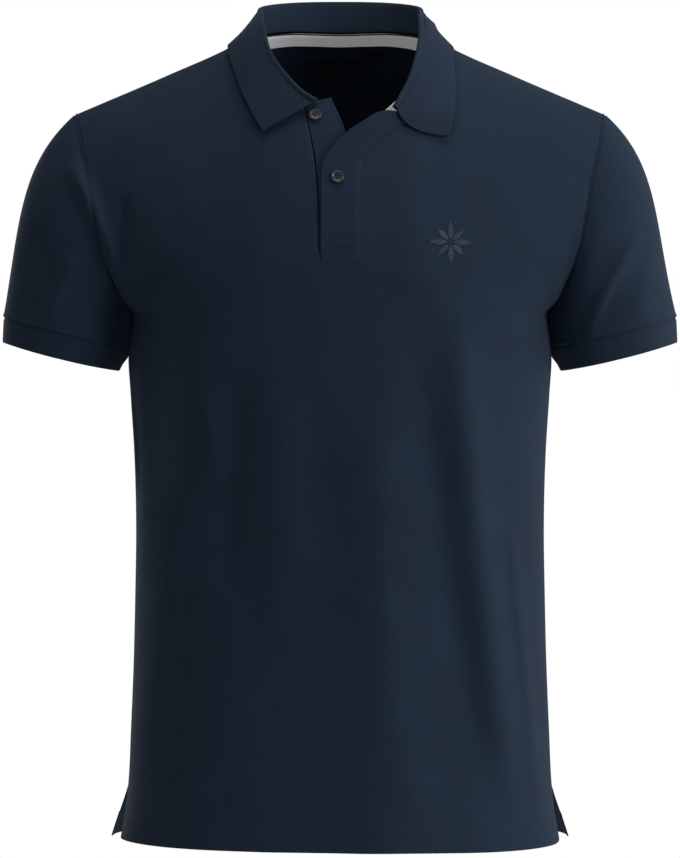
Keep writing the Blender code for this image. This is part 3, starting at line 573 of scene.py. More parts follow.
def on_panel(x, z, side):
    x, z = np.broadcast_arrays(np.asarray(x, dtype=float), np.asarray(z, dtype=float))
    return np.stack((x, surface_y(x, shoulder_z(x) - z, side), z), axis=-1)


def panel_normal(x, z, side):
    """Outward normals of the body form on the front or the back."""
    step = 0.0005
    across = on_panel(x + step, z, side) - on_panel(x - step, z, side)
    upward = on_panel(x, z + step, side) - on_panel(x, z - step, side)
    normal = unit(np.cross(across, upward))
    return normal * facing_of(side) * np.where(normal[..., 1:2] < 0, -1.0, 1.0)


# ---------------------------------------------------------------- folds

def fold_line(fold):
    """Points along the bowed middle line of a fold."""
    start = np.array(fold.start)
    end = np.array(fold.end)
    run = end - start
    sideways = np.array((-run[1], run[0])) / np.linalg.norm(run)
    shares = np.linspace(0.0, 1.0, 9)[:, None]
    return start + run * shares + sideways * fold.bow * 4 * shares * (1 - shares)


def fold_height(x, z, side):
    """Height of all folds of one side at points given by x and z."""
    total = np.zeros(len(x))
    place = np.stack((x, z), axis=1)
    for fold in FOLDS:
        if fold.side != side:
            continue
        line = fold_line(fold)
        best = np.full(len(x), 9.0)
        share = np.zeros(len(x))
        pieces = len(line) - 1
        for k in range(pieces):
            step = line[k + 1] - line[k]
            t = np.clip((place - line[k]).dot(step) / step.dot(step), 0.0, 1.0)
            away = np.linalg.norm(place - line[k] - t[:, None] * step, axis=1)
            closer = away < best
            best[closer] = away[closer]
            share[closer] = ((k + t) / pieces)[closer]
        taper = 1.0 - (2 * share - 1) ** 4
        total += fold.height * taper * bell(best, fold.width)
    return total


def unevenness(x, z):
    """Small slow waves that keep the cloth from looking pressed."""
    waves = (np.sin(61 * x + 17 * z + 0.7) * np.sin(37 * z - 13 * x)
             + 0.6 * np.sin(104 * x - 45 * z + 2.1) * np.sin(71 * z + 29 * x + 1.3))
    return 0.00055 * waves


def settle(points):
    """Moves points of any piece with the folds of the cloth around them."""
    points = np.array(points, dtype=float)
    flat = points.reshape(-1, 3)
    x, y, z = flat.T
    scale = sizes().fold_scale
    for side in ("front", "back"):
        facing = facing_of(side)
        share = ease(*FOLD_SIDES, facing * y)
        calm = ease(0.10, 0.16, np.hypot(x, z * 0.9))
        height = fold_height(x, z, side) + unevenness(x, z + facing * 0.4) * calm
        flat[:, 1] += facing * share * height * scale
    flat[:, 2] -= HEM_DROOP * ease(0.03, 0.17, x) * ease(-0.600, -0.715, z) * ease(0.02, -0.04, y)
    return points


# ---------------------------------------------------------------- grids of the panels

def body_row(z, side, hand, inner_x, shares):
    """x across rows below the armpit, closer together towards the side seam."""
    half = torso(side + "_half", z)[:, None]
    start = np.arcsin((abs(inner_x) / half) ** (BODY_POWER / 2))
    if inner_x * hand < 0:
        start = -start
    return hand * half * body_wave(start + (math.pi / 2 - start) * shares[None, :])


def top_edge(neckline, hand, shares):
    """(x, drop) along the neckline from the centre, then along the shoulder seam."""
    neck = edge_at(neckline, shares[shares <= NECK_SHARE] / NECK_SHARE)
    edge = [(x, max(float(shoulder_z(x)) - z, 0.0)) for x, z, _ in neck]
    edge[-1] = (hand * NECK_X, 0.0)
    for share in shares[shares > NECK_SHARE]:
        t = (share - NECK_SHARE) / (1 - NECK_SHARE)
        edge.append((hand * (NECK_X + (SHOULDER_X - NECK_X) * t), 0.0))
    return np.array(edge)


def armhole_edge(hand, heights):
    """(x, drop) up the armhole seam at shares of its height."""
    z = ARMPIT_Z + (SHOULDER_Z - ARMPIT_Z) * heights
    x = armhole_x(z)
    edge = np.stack((hand * x, np.maximum(shoulder_z(x) - z, 0.0)), axis=1)
    edge[-1] = (hand * SHOULDER_X, 0.0)
    return edge


def slit_edge(start_x, table, heights):
    """(x, drop) up a slit edge: armpit level to the slit's foot, then along the edge."""
    below = heights[heights < SLIT_SHARE - 1e-6]
    z = ARMPIT_Z + (SLIT_FOOT - ARMPIT_Z) * below / SLIT_SHARE
    lower = np.stack((np.full(len(z), start_x), shoulder_z(start_x) - z), axis=1)
    shares = (heights[len(below):] - SLIT_SHARE) / (1 - SLIT_SHARE)
    upper = edge_at(table, shares)
    upper = np.stack((upper[:, 0], shoulder_z(upper[:, 0]) - upper[:, 1]), axis=1)
    return np.concatenate((lower, upper))


def half_panel(side, hand, inner_x, inner_edge, neckline, shares, low_z, heights):
    """Points of one half: [column from the centre][row from the hem]."""
    low_x = body_row(low_z, side, hand, inner_x, shares)
    low = on_panel(low_x, low_z[:, None] + 0 * low_x, side)
    foot_x = body_row(np.array([ARMPIT_Z]), side, hand, inner_x, shares)[0]
    foot = np.stack((foot_x, shoulder_z(foot_x) - ARMPIT_Z), axis=1)
    top = top_edge(neckline, hand, shares)
    outer = armhole_edge(hand, heights)
    u = shares[None, :, None]
    v = heights[:, None, None]
    patch = ((1 - u) * inner_edge[:, None] + u * outer[:, None]
             + (1 - v) * foot[None] + v * top[None]
             - (1 - u) * (1 - v) * foot[0] - u * (1 - v) * foot[-1]
             - (1 - u) * v * top[0] - u * v * top[-1])
    x = patch[1:, :, 0]
    drop = np.maximum(patch[1:, :, 1], 0.0)
    high = np.stack((x, surface_y(x, drop, side), shoulder_z(x) - drop), axis=-1)
    grid = np.concatenate((low, high)).transpose(1, 0, 2)
    spread_out = vent_share(grid[:, :, 2]) * shares[:, None] ** 4
    grid[:, :, 1] += facing_of(side) * spread_out * VENT_SPREAD / 2
    return grid


def panel_shares():
    """Column shares from the centre to the side: neckline part, then shoulder part."""
    neck = np.linspace(0.0, NECK_SHARE, 31)
    rest = NECK_SHARE + (1 - NECK_SHARE) * spread(40, end_close=3, close=0.006)
    return np.concatenate((neck, rest[1:]))


def low_rows():
    """Levels of the rows from the hem to the armpit, close together at the hem's edge."""
    hem = hem_level()
    rows = [TORSO[0].z, TORSO[0].z + 0.0006, TORSO[0].z + 0.0018]
    rows += list(np.linspace(TORSO[0].z + 0.006, hem - 0.003, 3))
    rows += [hem - 0.0010, hem - 0.0004, hem + 0.0004, hem + 0.0010]
    rows += list(np.linspace(hem + 0.004, VENT_TOP - 0.004, 5))
    rows += list(np.linspace(VENT_TOP, ARMPIT_Z, 92))
    return np.array(rows)


def high_rows():
    """Shares of the height from the armpit to the neckline and shoulder seam."""
    turn = np.linspace(0.0, math.pi, 76)
    shares = list(0.5 - 0.5 * np.cos(turn))
    shares += [SLIT_SHARE, 0.9965, 0.993, 0.988]
    return np.unique(np.round(shares, 6))


def back_neckline():
    """Back neck seam as (x, z) from the centre to the neck point: half an oval in plan."""
    turn = np.linspace(0.0, math.pi / 2, 6)
    x = NECK_X * np.sin(turn)
    y = NECK_BACK_DEPTH * np.cos(turn)
    reach, power = BACK_ROUND
    depth = torso("back_depth", 0.0) * (1 - (x / NECK_LEVEL_HALF) ** BODY_POWER) ** (1 / BODY_POWER)
    fall = 1 - (1 - np.minimum(y / depth, 1.0) ** power) ** (1 / power)
    return list(zip(x, shoulder_z(x) - reach * fall))


MIDDLE_COLUMNS = 11


def front_grid():
    """Points of the whole front, and which cells the placket slit leaves out."""
    shares = panel_shares()
    low = low_rows()
    heights = high_rows()
    slit = int(np.argmin(np.abs(heights - SLIT_SHARE)))
    heights[slit] = SLIT_SHARE
    right_edge = slit_edge(SLIT_LEFT, EDGE_OF_RIGHT_SIDE, heights)
    left_edge = slit_edge(SLIT_RIGHT, EDGE_OF_LEFT_SIDE, heights)
    right = half_panel("front", -1, SLIT_LEFT, right_edge, NECK_RIGHT_SIDE, shares, low, heights)
    left = half_panel("front", 1, SLIT_RIGHT, left_edge, NECK_LEFT_SIDE, shares, low, heights)
    t = np.linspace(0.0, 1.0, MIDDLE_COLUMNS + 1)[1:-1, None, None]
    middle = right[0][None] * (1 - t) + left[0][None] * t
    middle = on_panel(middle[:, :, 0], middle[:, :, 2], "front")
    grid = np.concatenate((right[::-1], middle, left))
    missing = np.zeros((grid.shape[0] - 1, grid.shape[1] - 1), dtype=bool)
    first = len(shares) - 1
    missing[first:first + MIDDLE_COLUMNS, len(low) - 1 + slit:] = True
    return grid, missing


def back_grid():
    shares = panel_shares()
    low = low_rows()
    heights = high_rows()
    neckline = back_neckline()
    z = ARMPIT_Z + (neckline[0][1] - ARMPIT_Z) * heights
    edge = np.stack((np.zeros(len(z)), shoulder_z(0.0) - z), axis=1)
    halves = []
    for hand in (-1, 1):
        line = [(hand * x, z) for x, z in neckline]
        halves.append(half_panel("back", hand, 0.0, edge, line, shares, low, heights))
    return np.concatenate((halves[0][::-1], halves[1][1:]))


def grid_normals(points, outward):
    """Unit normals of a grid of points, turned to agree with the outward vectors."""
    normals = unit(np.cross(np.gradient(points, axis=1), np.gradient(points, axis=0)))
    flip = np.sign((normals * outward).sum())
    return normals * (flip if flip else 1.0)


def grid_uv(points, middle):
    """Distances in metres across and along a grid of points, from a middle column."""
    across = np.linalg.norm(np.diff(points, axis=0), axis=2)
    across = np.concatenate((np.zeros((1, points.shape[1])), np.cumsum(across, axis=0)))
    upward = np.linalg.norm(np.diff(points, axis=1), axis=2)
    upward = np.concatenate((np.zeros((points.shape[0], 1)), np.cumsum(upward, axis=1)), axis=1)
    return np.stack((across - across[middle], upward), axis=-1)


def edge_distances(points):
    """Distance of each point from the four edges: first, last column, first, last row."""
    uv = grid_uv(points, 0)
    across = uv[:, :, 0]
    upward = uv[:, :, 1]
    return across, across[-1:] - across, upward, upward[:, -1:] - upward


# ---------------------------------------------------------------- making pieces

def new_object(name, form, look, smooth_angle=None):
    mesh = bpy.data.meshes.new(name)
    form.to_mesh(mesh)
    form.free()
    mesh.materials.append(look)
    mesh.shade_smooth()
    if smooth_angle:
        mesh.set_sharp_from_angle(angle=math.radians(smooth_angle))
    piece = bpy.data.objects.new(name, mesh)
    bpy.context.scene.collection.objects.link(piece)
    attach(piece, "root")
    return piece


def cloth_sheet(name, points, uv, outward, look, closed=False, missing=None):
    """One sheet of cloth: a grid laid on the given points, its faces pointing outward."""
    across = np.gradient(points, axis=0)
    upward = np.gradient(points, axis=1)
    if (np.cross(upward, across) * outward).sum() < 0:
        points = points[::-1]
        uv = uv[::-1]
        missing = None if missing is None else missing[::-1]
    first, second = points.shape[:2]
    form = bmesh.new()
    layer = form.loops.layers.uv.new(CLOTH_UV)
    bmesh.ops.create_grid(form, x_segments=second - 1, y_segments=first - 1, size=1.0)
    form.verts.ensure_lookup_table()
    for vert, point in zip(form.verts, points.reshape(-1, 3)):
        vert.co = point
    flat_uv = uv.reshape(-1, 2)
    for face in form.faces:
        for loop in face.loops:
            loop[layer].uv = flat_uv[loop.vert.index]
    if missing is not None:
        gone = [face for face in form.faces
                if missing[face.index // (second - 1), face.index % (second - 1)]]
        bmesh.ops.delete(form, geom=gone, context="FACES")
    if closed:
        bmesh.ops.remove_doubles(form, verts=form.verts, dist=0.00001)
    return new_object(name, form, look)


def give_wall(piece, thickness, offset=-1.0, edge=0.0):
    """Thickness for a sheet, and softened edges where the cloth is folded."""
    wall = piece.modifiers.new("wall", "SOLIDIFY")
    wall.thickness = thickness
    wall.offset = offset
    wall.use_quality_normals = True
    if edge:
        soft = piece.modifiers.new("soft_edge", "BEVEL")
        soft.width = edge
        soft.segments = 3
        soft.limit_method = "ANGLE"
        soft.angle_limit = math.radians(60)
    return piece


def tree_of(*names):
    """Search trees of pieces' own meshes, which are outer sheets without walls."""
    trees = []
    for name in names:
        form = bmesh.new()
        form.from_mesh(bpy.data.objects[name].data)
        trees.append(BVHTree.FromBMesh(form))
        form.free()
    return trees


def seen_point(trees, x, z):
    """Outermost point and normal of the cloth at x and z, looking from the front."""
    best = None
    for tree in trees:
        hit, normal, _, _ = tree.ray_cast(Vector((x, -FAR, z)), Vector((0, 1, 0)))
        if hit is not None and (best is None or hit.y < best[0].y):
            best = (hit, normal if normal.y < 0 else -normal)
    if best is None:
        raise RuntimeError("no cloth at x %.4f z %.4f" % (x, z))
    return best


# ---------------------------------------------------------------- materials

def node(tree, kind, inputs=(), **settings):
    made = tree.nodes.new(kind)
    for name, value in settings.items():
        setattr(made, name, value)
    for name, value in dict(inputs).items():
        if isinstance(value, bpy.types.NodeSocket):
            tree.links.new(value, made.inputs[name])
        else:
            made.inputs[name].default_value = value
    return made


def calc(tree, operation, first, second=None):
    inputs = {0: first}
    if second is not None:
        inputs[1] = second
    return node(tree, "ShaderNodeMath", inputs, operation=operation).outputs[0]


def new_look(name, roughness, sheen=0.0, coat=0.0, specular=0.5):
    look = bpy.data.materials.new(name)
    look.use_nodes = True
    shader = look.node_tree.nodes["Principled BSDF"]
    shader.inputs["Roughness"].default_value = roughness
    shader.inputs["Sheen Weight"].default_value = sheen
    shader.inputs["Sheen Roughness"].default_value = 0.45
    shader.inputs["Sheen Tint"].default_value = (0.62, 0.76, 1.0, 1.0)
    shader.inputs["Coat Weight"].default_value = coat
    shader.inputs["Coat Roughness"].default_value = 0.12
    shader.inputs["Specular IOR Level"].default_value = specular
    return look, look.node_tree, shader


def mixed(tree, factor, first, second):
    made = node(tree, "ShaderNodeMix", data_type="RGBA")
    tree.links.new(factor, made.inputs["Factor"])
    for name, value in (("A", first), ("B", second)):
        for socket in made.inputs:
            if socket.name == name and socket.type == "RGBA":
                socket.default_value = (*value, 1.0)
    return next(s for s in made.outputs if s.type == "RGBA")


def dress(tree, shader, tint, height, strength, distance):
    """Gives a finish its tint and the relief of a height."""
    bump = node(tree, "ShaderNodeBump",
                {"Height": height, "Strength": strength, "Distance": distance})
    tree.links.new(tint, shader.inputs["Base Color"])
    tree.links.new(bump.outputs[0], shader.inputs["Normal"])


def clamped(socket):
    socket.node.use_clamp = True
    return socket


def scaled(colour, share):
    return tuple(min(c * share, 1.0) for c in colour)


def knit_look(name, colour, pitch, stagger, relief, pit_shade_strength, roughness, sheen):
    """Knitted yarn on the cloth's own measure: staggered cells or straight ribs."""
    look, tree, shader = new_look(name, roughness, sheen=sheen, specular=0.28)
    place = node(tree, "ShaderNodeUVMap", uv_map=CLOTH_UV).outputs["UV"]
    turn = 2 * math.pi
    grown = node(tree, "ShaderNodeMapping",
                 {"Vector": place, "Scale": (turn / pitch[0], turn / pitch[1], 1.0)}).outputs[0]
    split = node(tree, "ShaderNodeSeparateXYZ", {"Vector": grown}).outputs
    wave_x = calc(tree, "COSINE", split[0])
    wave_y = calc(tree, "COSINE", split[1])
    if stagger:
        cells = calc(tree, "MULTIPLY", wave_x, wave_y)
    else:
        cells = calc(tree, "ADD", calc(tree, "MULTIPLY", wave_x, 0.75),
                     calc(tree, "MULTIPLY", wave_y, 0.25))
    yarn = node(tree, "ShaderNodeTexNoise", {"Vector": place, "Scale": 1400.0, "Detail": 2.0})
    hairs = calc(tree, "MULTIPLY", calc(tree, "SUBTRACT", yarn.outputs[0], 0.5), 1.4)
    height = calc(tree, "ADD", calc(tree, "MULTIPLY", cells, 0.5), hairs)
    slow = node(tree, "ShaderNodeTexNoise", {"Vector": place, "Scale": 26.0, "Detail": 4.0})
    # The tint is darker where the height is low: painted shade in the knit's pits. The slow noise is
    # the yarn's random tone.
    shade = calc(tree, "ADD", calc(tree, "MULTIPLY", height, pit_shade_strength),
                 calc(tree, "MULTIPLY", calc(tree, "SUBTRACT", slow.outputs[0], 0.5), 0.7))
    shade = clamped(calc(tree, "ADD", shade, 0.5))
    tint = mixed(tree, shade, scaled(colour, 0.72), scaled(colour, 1.28))
    dress(tree, shader, tint, height, relief, 0.0004)
    return look


def tape_look(name, colour):
    """Cotton tape: fine twill with a firm line near each edge, painted darker in their grooves as
    shade; it also glows faintly with painted light.
    """
    look, tree, shader = new_look(name, 0.85, sheen=0.2, specular=0.3)
    place = node(tree, "ShaderNodeUVMap", uv_map=CLOTH_UV).outputs["UV"]
    split = node(tree, "ShaderNodeSeparateXYZ", {"Vector": place}).outputs
    slant = calc(tree, "ADD", calc(tree, "MULTIPLY", split[0], 7000.0),
                 calc(tree, "MULTIPLY", split[1], 7000.0))
    twill = calc(tree, "SINE", slant)
    rows = calc(tree, "COSINE", calc(tree, "MULTIPLY", split[1], 2 * math.pi / (TAPE_WIDTH / 3)))
    line = calc(tree, "POWER", calc(tree, "MAXIMUM", rows, 0.0), 12.0)
    height = calc(tree, "SUBTRACT", calc(tree, "MULTIPLY", twill, 0.35), line)
    worn = node(tree, "ShaderNodeTexNoise", {"Vector": place, "Scale": 300.0, "Detail": 3.0})
    # The tint is darker where the twill and the edge lines sink: painted shade in the grooves. The worn
    # noise is the tape's random tone.
    shade = calc(tree, "ADD", calc(tree, "MULTIPLY", height, 0.25),
                 calc(tree, "ADD", calc(tree, "MULTIPLY", worn.outputs[0], 0.3), 0.45))
    tint = mixed(tree, clamped(shade), scaled(colour, 0.86), scaled(colour, 1.08))
    dress(tree, shader, tint, height, 0.5, 0.0003)
    # Painted light: the tape glows white with its own light so that it looks brightly lit.
    shader.inputs["Emission Color"].default_value = (1.0, 1.0, 1.0, 1.0)
    shader.inputs["Emission Strength"].default_value = TAPE_PAINTED_LIGHT
    return look


SATIN_THREADS = (9000.0, 9000.0, 3000.0)    # turns of the threads' wave in a metre
TAPE_PAINTED_LIGHT = 0.14                            # painted light: the tape glows with its own light so that it looks brightly lit


def satin_look(name, colour, roughness, specular=0.45):
    """Fine parallel threads: labels, sewing thread and embroidery."""
    look, tree, shader = new_look(name, roughness, specular=specular)
    place = node(tree, "ShaderNodeTexCoord").outputs["Object"]
    grown = node(tree, "ShaderNodeMapping",
                 {"Vector": place, "Scale": SATIN_THREADS}).outputs[0]
    split = node(tree, "ShaderNodeSeparateXYZ", {"Vector": grown}).outputs
    threads = calc(tree, "MULTIPLY", calc(tree, "SINE", split[0]), calc(tree, "SINE", split[2]))
    fuzz = node(tree, "ShaderNodeTexNoise", {"Vector": place, "Scale": 2200.0, "Detail": 2.0})
    height = calc(tree, "ADD", calc(tree, "MULTIPLY", threads, 0.4), fuzz.outputs[0])
    tint = mixed(tree, fuzz.outputs[0], scaled(colour, 0.7), scaled(colour, 1.3))
    dress(tree, shader, tint, height, 0.35, 0.0002)
    return look


def pearl_look(name, colour):
    """Smoky pearl: slow swirls of lighter and darker grey under a clear surface."""
    look, tree, shader = new_look(name, 0.34, coat=0.25, specular=0.4)
    place = node(tree, "ShaderNodeTexCoord").outputs["Object"]
    swirl = node(tree, "ShaderNodeTexNoise",
                 {"Vector": place, "Scale": 330.0, "Detail": 4.0, "Distortion": 1.6})
    fine = node(tree, "ShaderNodeTexNoise", {"Vector": place, "Scale": 1500.0, "Detail": 2.0})
    shade = calc(tree, "ADD", calc(tree, "MULTIPLY", swirl.outputs[0], 1.5), -0.25)
    tint = mixed(tree, clamped(shade), scaled(colour, 0.35), scaled(colour, 2.1))
    dress(tree, shader, tint, fine.outputs[0], 0.08, 0.0002)
    return look


def look_of(name):
    """Each finish is made once and shared by its pieces."""
    made = bpy.data.materials.get(name)
    if made is not None:
        return made
    tones = colours()
    cell = sizes().pique_pitch
    rib = sizes().rib_pitch
    if name == "pique_knit":
        return knit_look(name, tones.pique, (cell * 1.8, cell * 1.8), True, 0.35, 0.30, 0.88, 0.06)
    if name == "rib_knit":
        return knit_look(name, tones.rib, (rib, rib * 1.5), False, 0.60, 0.5, 0.86, 0.06)
    if name == "neck_tape_cotton":
        return tape_look(name, tones.tape)
    if name == "label_satin":
        return satin_look(name, tones.label, 0.60, specular=0.10)
    if name == "button_pearl":
        return pearl_look(name, tones.button)
    if name == "sewing_thread":
        return satin_look(name, tones.thread, 0.62)
    return satin_look(name, tones.embroidery, 0.50)


# ---------------------------------------------------------------- panels

def sink_seams(points, outward, edges):
    """Sinks the cloth into a seam along some edges; edges hold (distances, where)."""
    normals = grid_normals(points, outward)
    depth = np.zeros(points.shape[:2])
    for away, where in edges:
        depth = np.maximum(depth, SEAM_SINK * bell(away, SEAM_REACH) * where)
    underarm = np.abs(points[:, :, 0]) > SHOULDER_X - 0.045
    depth *= np.where(underarm, ease(0.004, 0.030, np.abs(points[:, :, 2] - ARMPIT_Z)), 1.0)
    return points - normals * depth[:, :, None]


def panel_piece(name, grid, side, missing=None):
    outward = np.zeros_like(grid)
    outward[:, :, 1] = facing_of(side)
    outward[:, :, 0] = np.sign(grid[:, :, 0]) * 0.3
    outward[:, :, 2] = 0.1
    first, last, _, top = edge_distances(grid)
    uv = grid_uv(grid, grid.shape[0] // 2)
    seam = ease(VENT_TOP - 0.004, VENT_TOP + 0.004, grid[:, :, 2])
    grid = sink_seams(grid, outward, [(first, seam), (last, seam), (top, 1.0)])
    normals = grid_normals(grid, outward)
    hem = hem_level()
    fold = ease(hem + 0.0008, hem - 0.0008, grid[:, :, 2]) * HEM_RISE
    grid = grid + normals * fold[:, :, None]
    piece = cloth_sheet(name, grid, uv, outward, look_of("pique_knit"), missing=missing)
    give_wall(piece, sizes().panel_wall)
    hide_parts(side)
    return piece


class POLO_OT_panels(bpy.types.Operator):
    """Knit the front and the back"""
    bl_idname = "polo.panels"
    bl_label = "Front and back"

    def execute(self, context):
        grid, missing = front_grid()
        panel_piece("front_cloth", grid, "front", missing)
        panel_piece("back_cloth", back_grid(), "back")
        return {"FINISHED"}


# ---------------------------------------------------------------- sleeves and cuffs

def round_turns():
    return np.linspace(0.0, 2 * math.pi, ROUND_CELLS + 1)


def armhole_loop(hand, turns):
    """Armhole seam from the underarm up the front, over the shoulder and down the back."""
    heights = 0.5 - 0.5 * np.cos(turns)
    z = ARMPIT_Z + (SHOULDER_Z - ARMPIT_Z) * heights
    x = armhole_x(z)
    drop = np.maximum(shoulder_z(x) - z, 0.0)
    front = surface_y(x, drop, "front")
    back = surface_y(x, drop, "back")
    y = np.where(turns < math.pi, front, back)
    y[np.abs(turns - math.pi) < 1e-6] = 0.0
    return np.stack((hand * x, y, z), axis=1)


def cuff_ring(ring, hand, turns):
    """Oval ring in a tilted plane, from its underarm point round by the front."""
    reach = -ring.half_width * np.cos(turns)
    x = ring.x + reach * math.cos(ring.tilt)
    y = ring.y - ring.half_depth * np.sin(turns)
    z = ring.z + reach * math.sin(ring.tilt) - CUFF_SAG * np.sin(turns) ** 2
    return np.stack((hand * x, y, z), axis=1)


def sleeve_grid(hand):
    """Points of a sleeve: [round the arm][from the armhole to the cuff]."""
    turns = round_turns()
    mirror = np.array((hand, 1.0, 1.0))
    start = armhole_loop(hand, turns) + np.array((hand * 1.5 * SEAM_GAP, 0.0, 0.0))
    end = cuff_ring(CUFF_TOP, hand, turns)
    under = (0.5 + 0.5 * np.cos(turns))[:, None]
    leave = (1 - under) * np.array(SLEEVE_START_DIRECTION) + under * np.array(UNDERARM_DIRECTION)
    leave[:, 1] -= SLEEVE_FLARE * np.sin(turns)
    leave = unit(leave) * mirror
    arrive = unit(SLEEVE_END_DIRECTION[hand]) * mirror
    span = np.linalg.norm(end - start, axis=1)[:, None]
    first = start + leave * HANDLES[0] * span
    last = end - arrive * HANDLES[1] * span
    t = spread(56, start_close=3, end_close=3, close=0.005)[None, :, None]
    return ((1 - t) ** 3 * start[:, None] + 3 * t * (1 - t) ** 2 * first[:, None]
            + 3 * t * t * (1 - t) * last[:, None] + t ** 3 * end[:, None])


def underarm_allowance(edge, hand):
    """Where the sleeve's seam edge is turned into the body; widest under the arm."""
    front = edge[:, 1] < 0
    normals = np.where(front[:, None], panel_normal(edge[:, 0], edge[:, 2], "front"),
                       panel_normal(edge[:, 0], edge[:, 2], "back"))
    normals[np.abs(edge[:, 1]) < 0.004] = (hand, 0.0, 0.0)
    upward = np.array((0.0, 0.0, 1.0)) - normals * normals[:, 2:]
    under = ease(0.040, 0.018, edge[:, 2] - ARMPIT_Z)[:, None]
    turned = edge + (unit(upward) * ALLOWANCE_RISE - normals * ALLOWANCE_DEPTH) * under
    turned[:, 1] *= 1 - 0.25 * under[:, 0]
    inset = np.array((hand * SEAM_GAP, 0.0, 0.0))
    return turned - inset * (1 - under)


def beside_torso(points, hand):
    """Points of a sleeve, those that hang against the side of the body kept just off it."""
    points = points.copy()
    x, y, z = (points[..., axis] for axis in range(3))
    depth = np.where(y < 0, torso("front_depth", z), torso("back_depth", z))
    arch = (1.0 - np.minimum(np.abs(y) / depth, 1.0) ** BODY_POWER) ** (1.0 / BODY_POWER)
    below = ARMPIT_Z - z
    seam = SEAM_GAP * (0.3 + 0.7 * ease(0.0005, 0.0040, below))
    side = torso("front_half", z) * arch + seam + REST_GAP * ease(0.002, 0.015, below)
    away = np.maximum(np.abs(x) - side, 0.0)
    held = 1.0 - ease(0.0010, 0.0065, away)
    away = away * (1.0 - held * ease(0.048, 0.036, below))
    drawn_in = 0.7 * SEAM_GAP * held * ease(-0.0020, -0.0002, below)
    points[..., 0] = np.where(below > -0.0002, hand * (side + away), x - hand * drawn_in)
    return points


def from_middle(points):
    return points - points.mean(axis=0, keepdims=True)


class POLO_OT_sleeves(bpy.types.Operator):
    """Set in both sleeves"""
    bl_idname = "polo.sleeves"
    bl_label = "Sleeves"

    def execute(self, context):
        for name, hand in HANDS:
            grid = sleeve_grid(hand)
            outward = from_middle(grid)
            allowance = underarm_allowance(grid[:, 0], hand)
            _, _, start, end = edge_distances(grid)
            uv = grid_uv(grid, 0)
            grid = sink_seams(grid, outward, [(start, 1.0)])
            normals = grid_normals(grid, outward)
            roll = SLEEVE_ROLL * ease(0.0045, 0.0030, end) - SLEEVE_TUCK * ease(0.0012, 0.0, end)
            grid = beside_torso(grid + normals * roll[:, :, None], hand)
            grid[-1] = grid[0]
            grid = np.concatenate((allowance[:, None], grid), axis=1)
            uv = np.concatenate((uv[:, :1] - (0.0, 0.003), uv), axis=1)
            outward = np.concatenate((outward[:, :1], outward), axis=1)
            piece = cloth_sheet("sleeve_%s_cloth" % name, grid, uv, outward,
                                look_of("pique_knit"), closed=True)
            give_wall(piece, sizes().panel_wall)
            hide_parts("sleeve_" + name)
        return {"FINISHED"}


class POLO_OT_cuffs(bpy.types.Operator):
    """Knit the rib cuffs"""
    bl_idname = "polo.cuffs"
    bl_label = "Cuffs"

    def execute(self, context):
        turns = round_turns()
        shares = np.concatenate(([0.6 * SEAM_GAP / CUFF_HEIGHT, 0.03, 0.06], np.linspace(0.12, 0.94, 9),
                                 [0.975, 0.992, 1.0]))
        for name, hand in HANDS:
            top = cuff_ring(CUFF_TOP, hand, turns)[:, None]
            foot = cuff_ring(CUFF_FOOT, hand, turns)[:, None]
            grid = top + (foot - top) * shares[None, :, None]
            outward = from_middle(grid)
            uv = grid_uv(grid, 0)
            normals = grid_normals(grid, outward)
            _, _, start, end = edge_distances(grid)
            depth = SEAM_SINK * bell(start, 0.002) + CUFF_BEVEL * bell(end, 0.0008)
            grid = beside_torso(grid - normals * (depth + CUFF_INSET)[:, :, None], hand)
            grid[-1] = grid[0]
            piece = cloth_sheet("cuff_%s_rib" % name, grid, uv, outward,
                                look_of("rib_knit"), closed=True)
            give_wall(piece, sizes().rib_wall)
            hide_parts("cuff_" + name)
        return {"FINISHED"}


# ---------------------------------------------------------------- plackets

def strip_grid(table, columns, rows):
    """(x, z, roll) of a placket strip: [across][up]."""
    flat = [(r.free_x, r.free_z, 0.0, r.sewn_x, r.sewn_z, r.roll) for r in table]
    lines = along_at(flat, np.linspace(0.0, 1.0, rows + 1))
    t = np.linspace(0.0, 1.0, columns + 1)[:, None]
    x = lines[None, :, 0] * (1 - t) + lines[None, :, 3] * t
    z = lines[None, :, 1] * (1 - t) + lines[None, :, 4] * t
    roll = lines[None, :, 5] * (1 - t) ** 1.5
    return x, z, roll


def lift_over(trees, points, normals, gap):
    """Points moved along their normals until they lie a gap outside the cloth below."""
    raised = points.copy()
    for index in np.ndindex(points.shape[:2]):
        normal = Vector(normals[index])
        place = Vector(points[index])
        height = 0.0
        for tree in trees:
            hit, _, _, _ = tree.ray_cast(place + normal * PROBE, -normal, 2 * PROBE)
            if hit is not None:
                height = max(height, (hit - place).dot(normal))
        raised[index] = place + normal * (height + gap[index])
    return raised


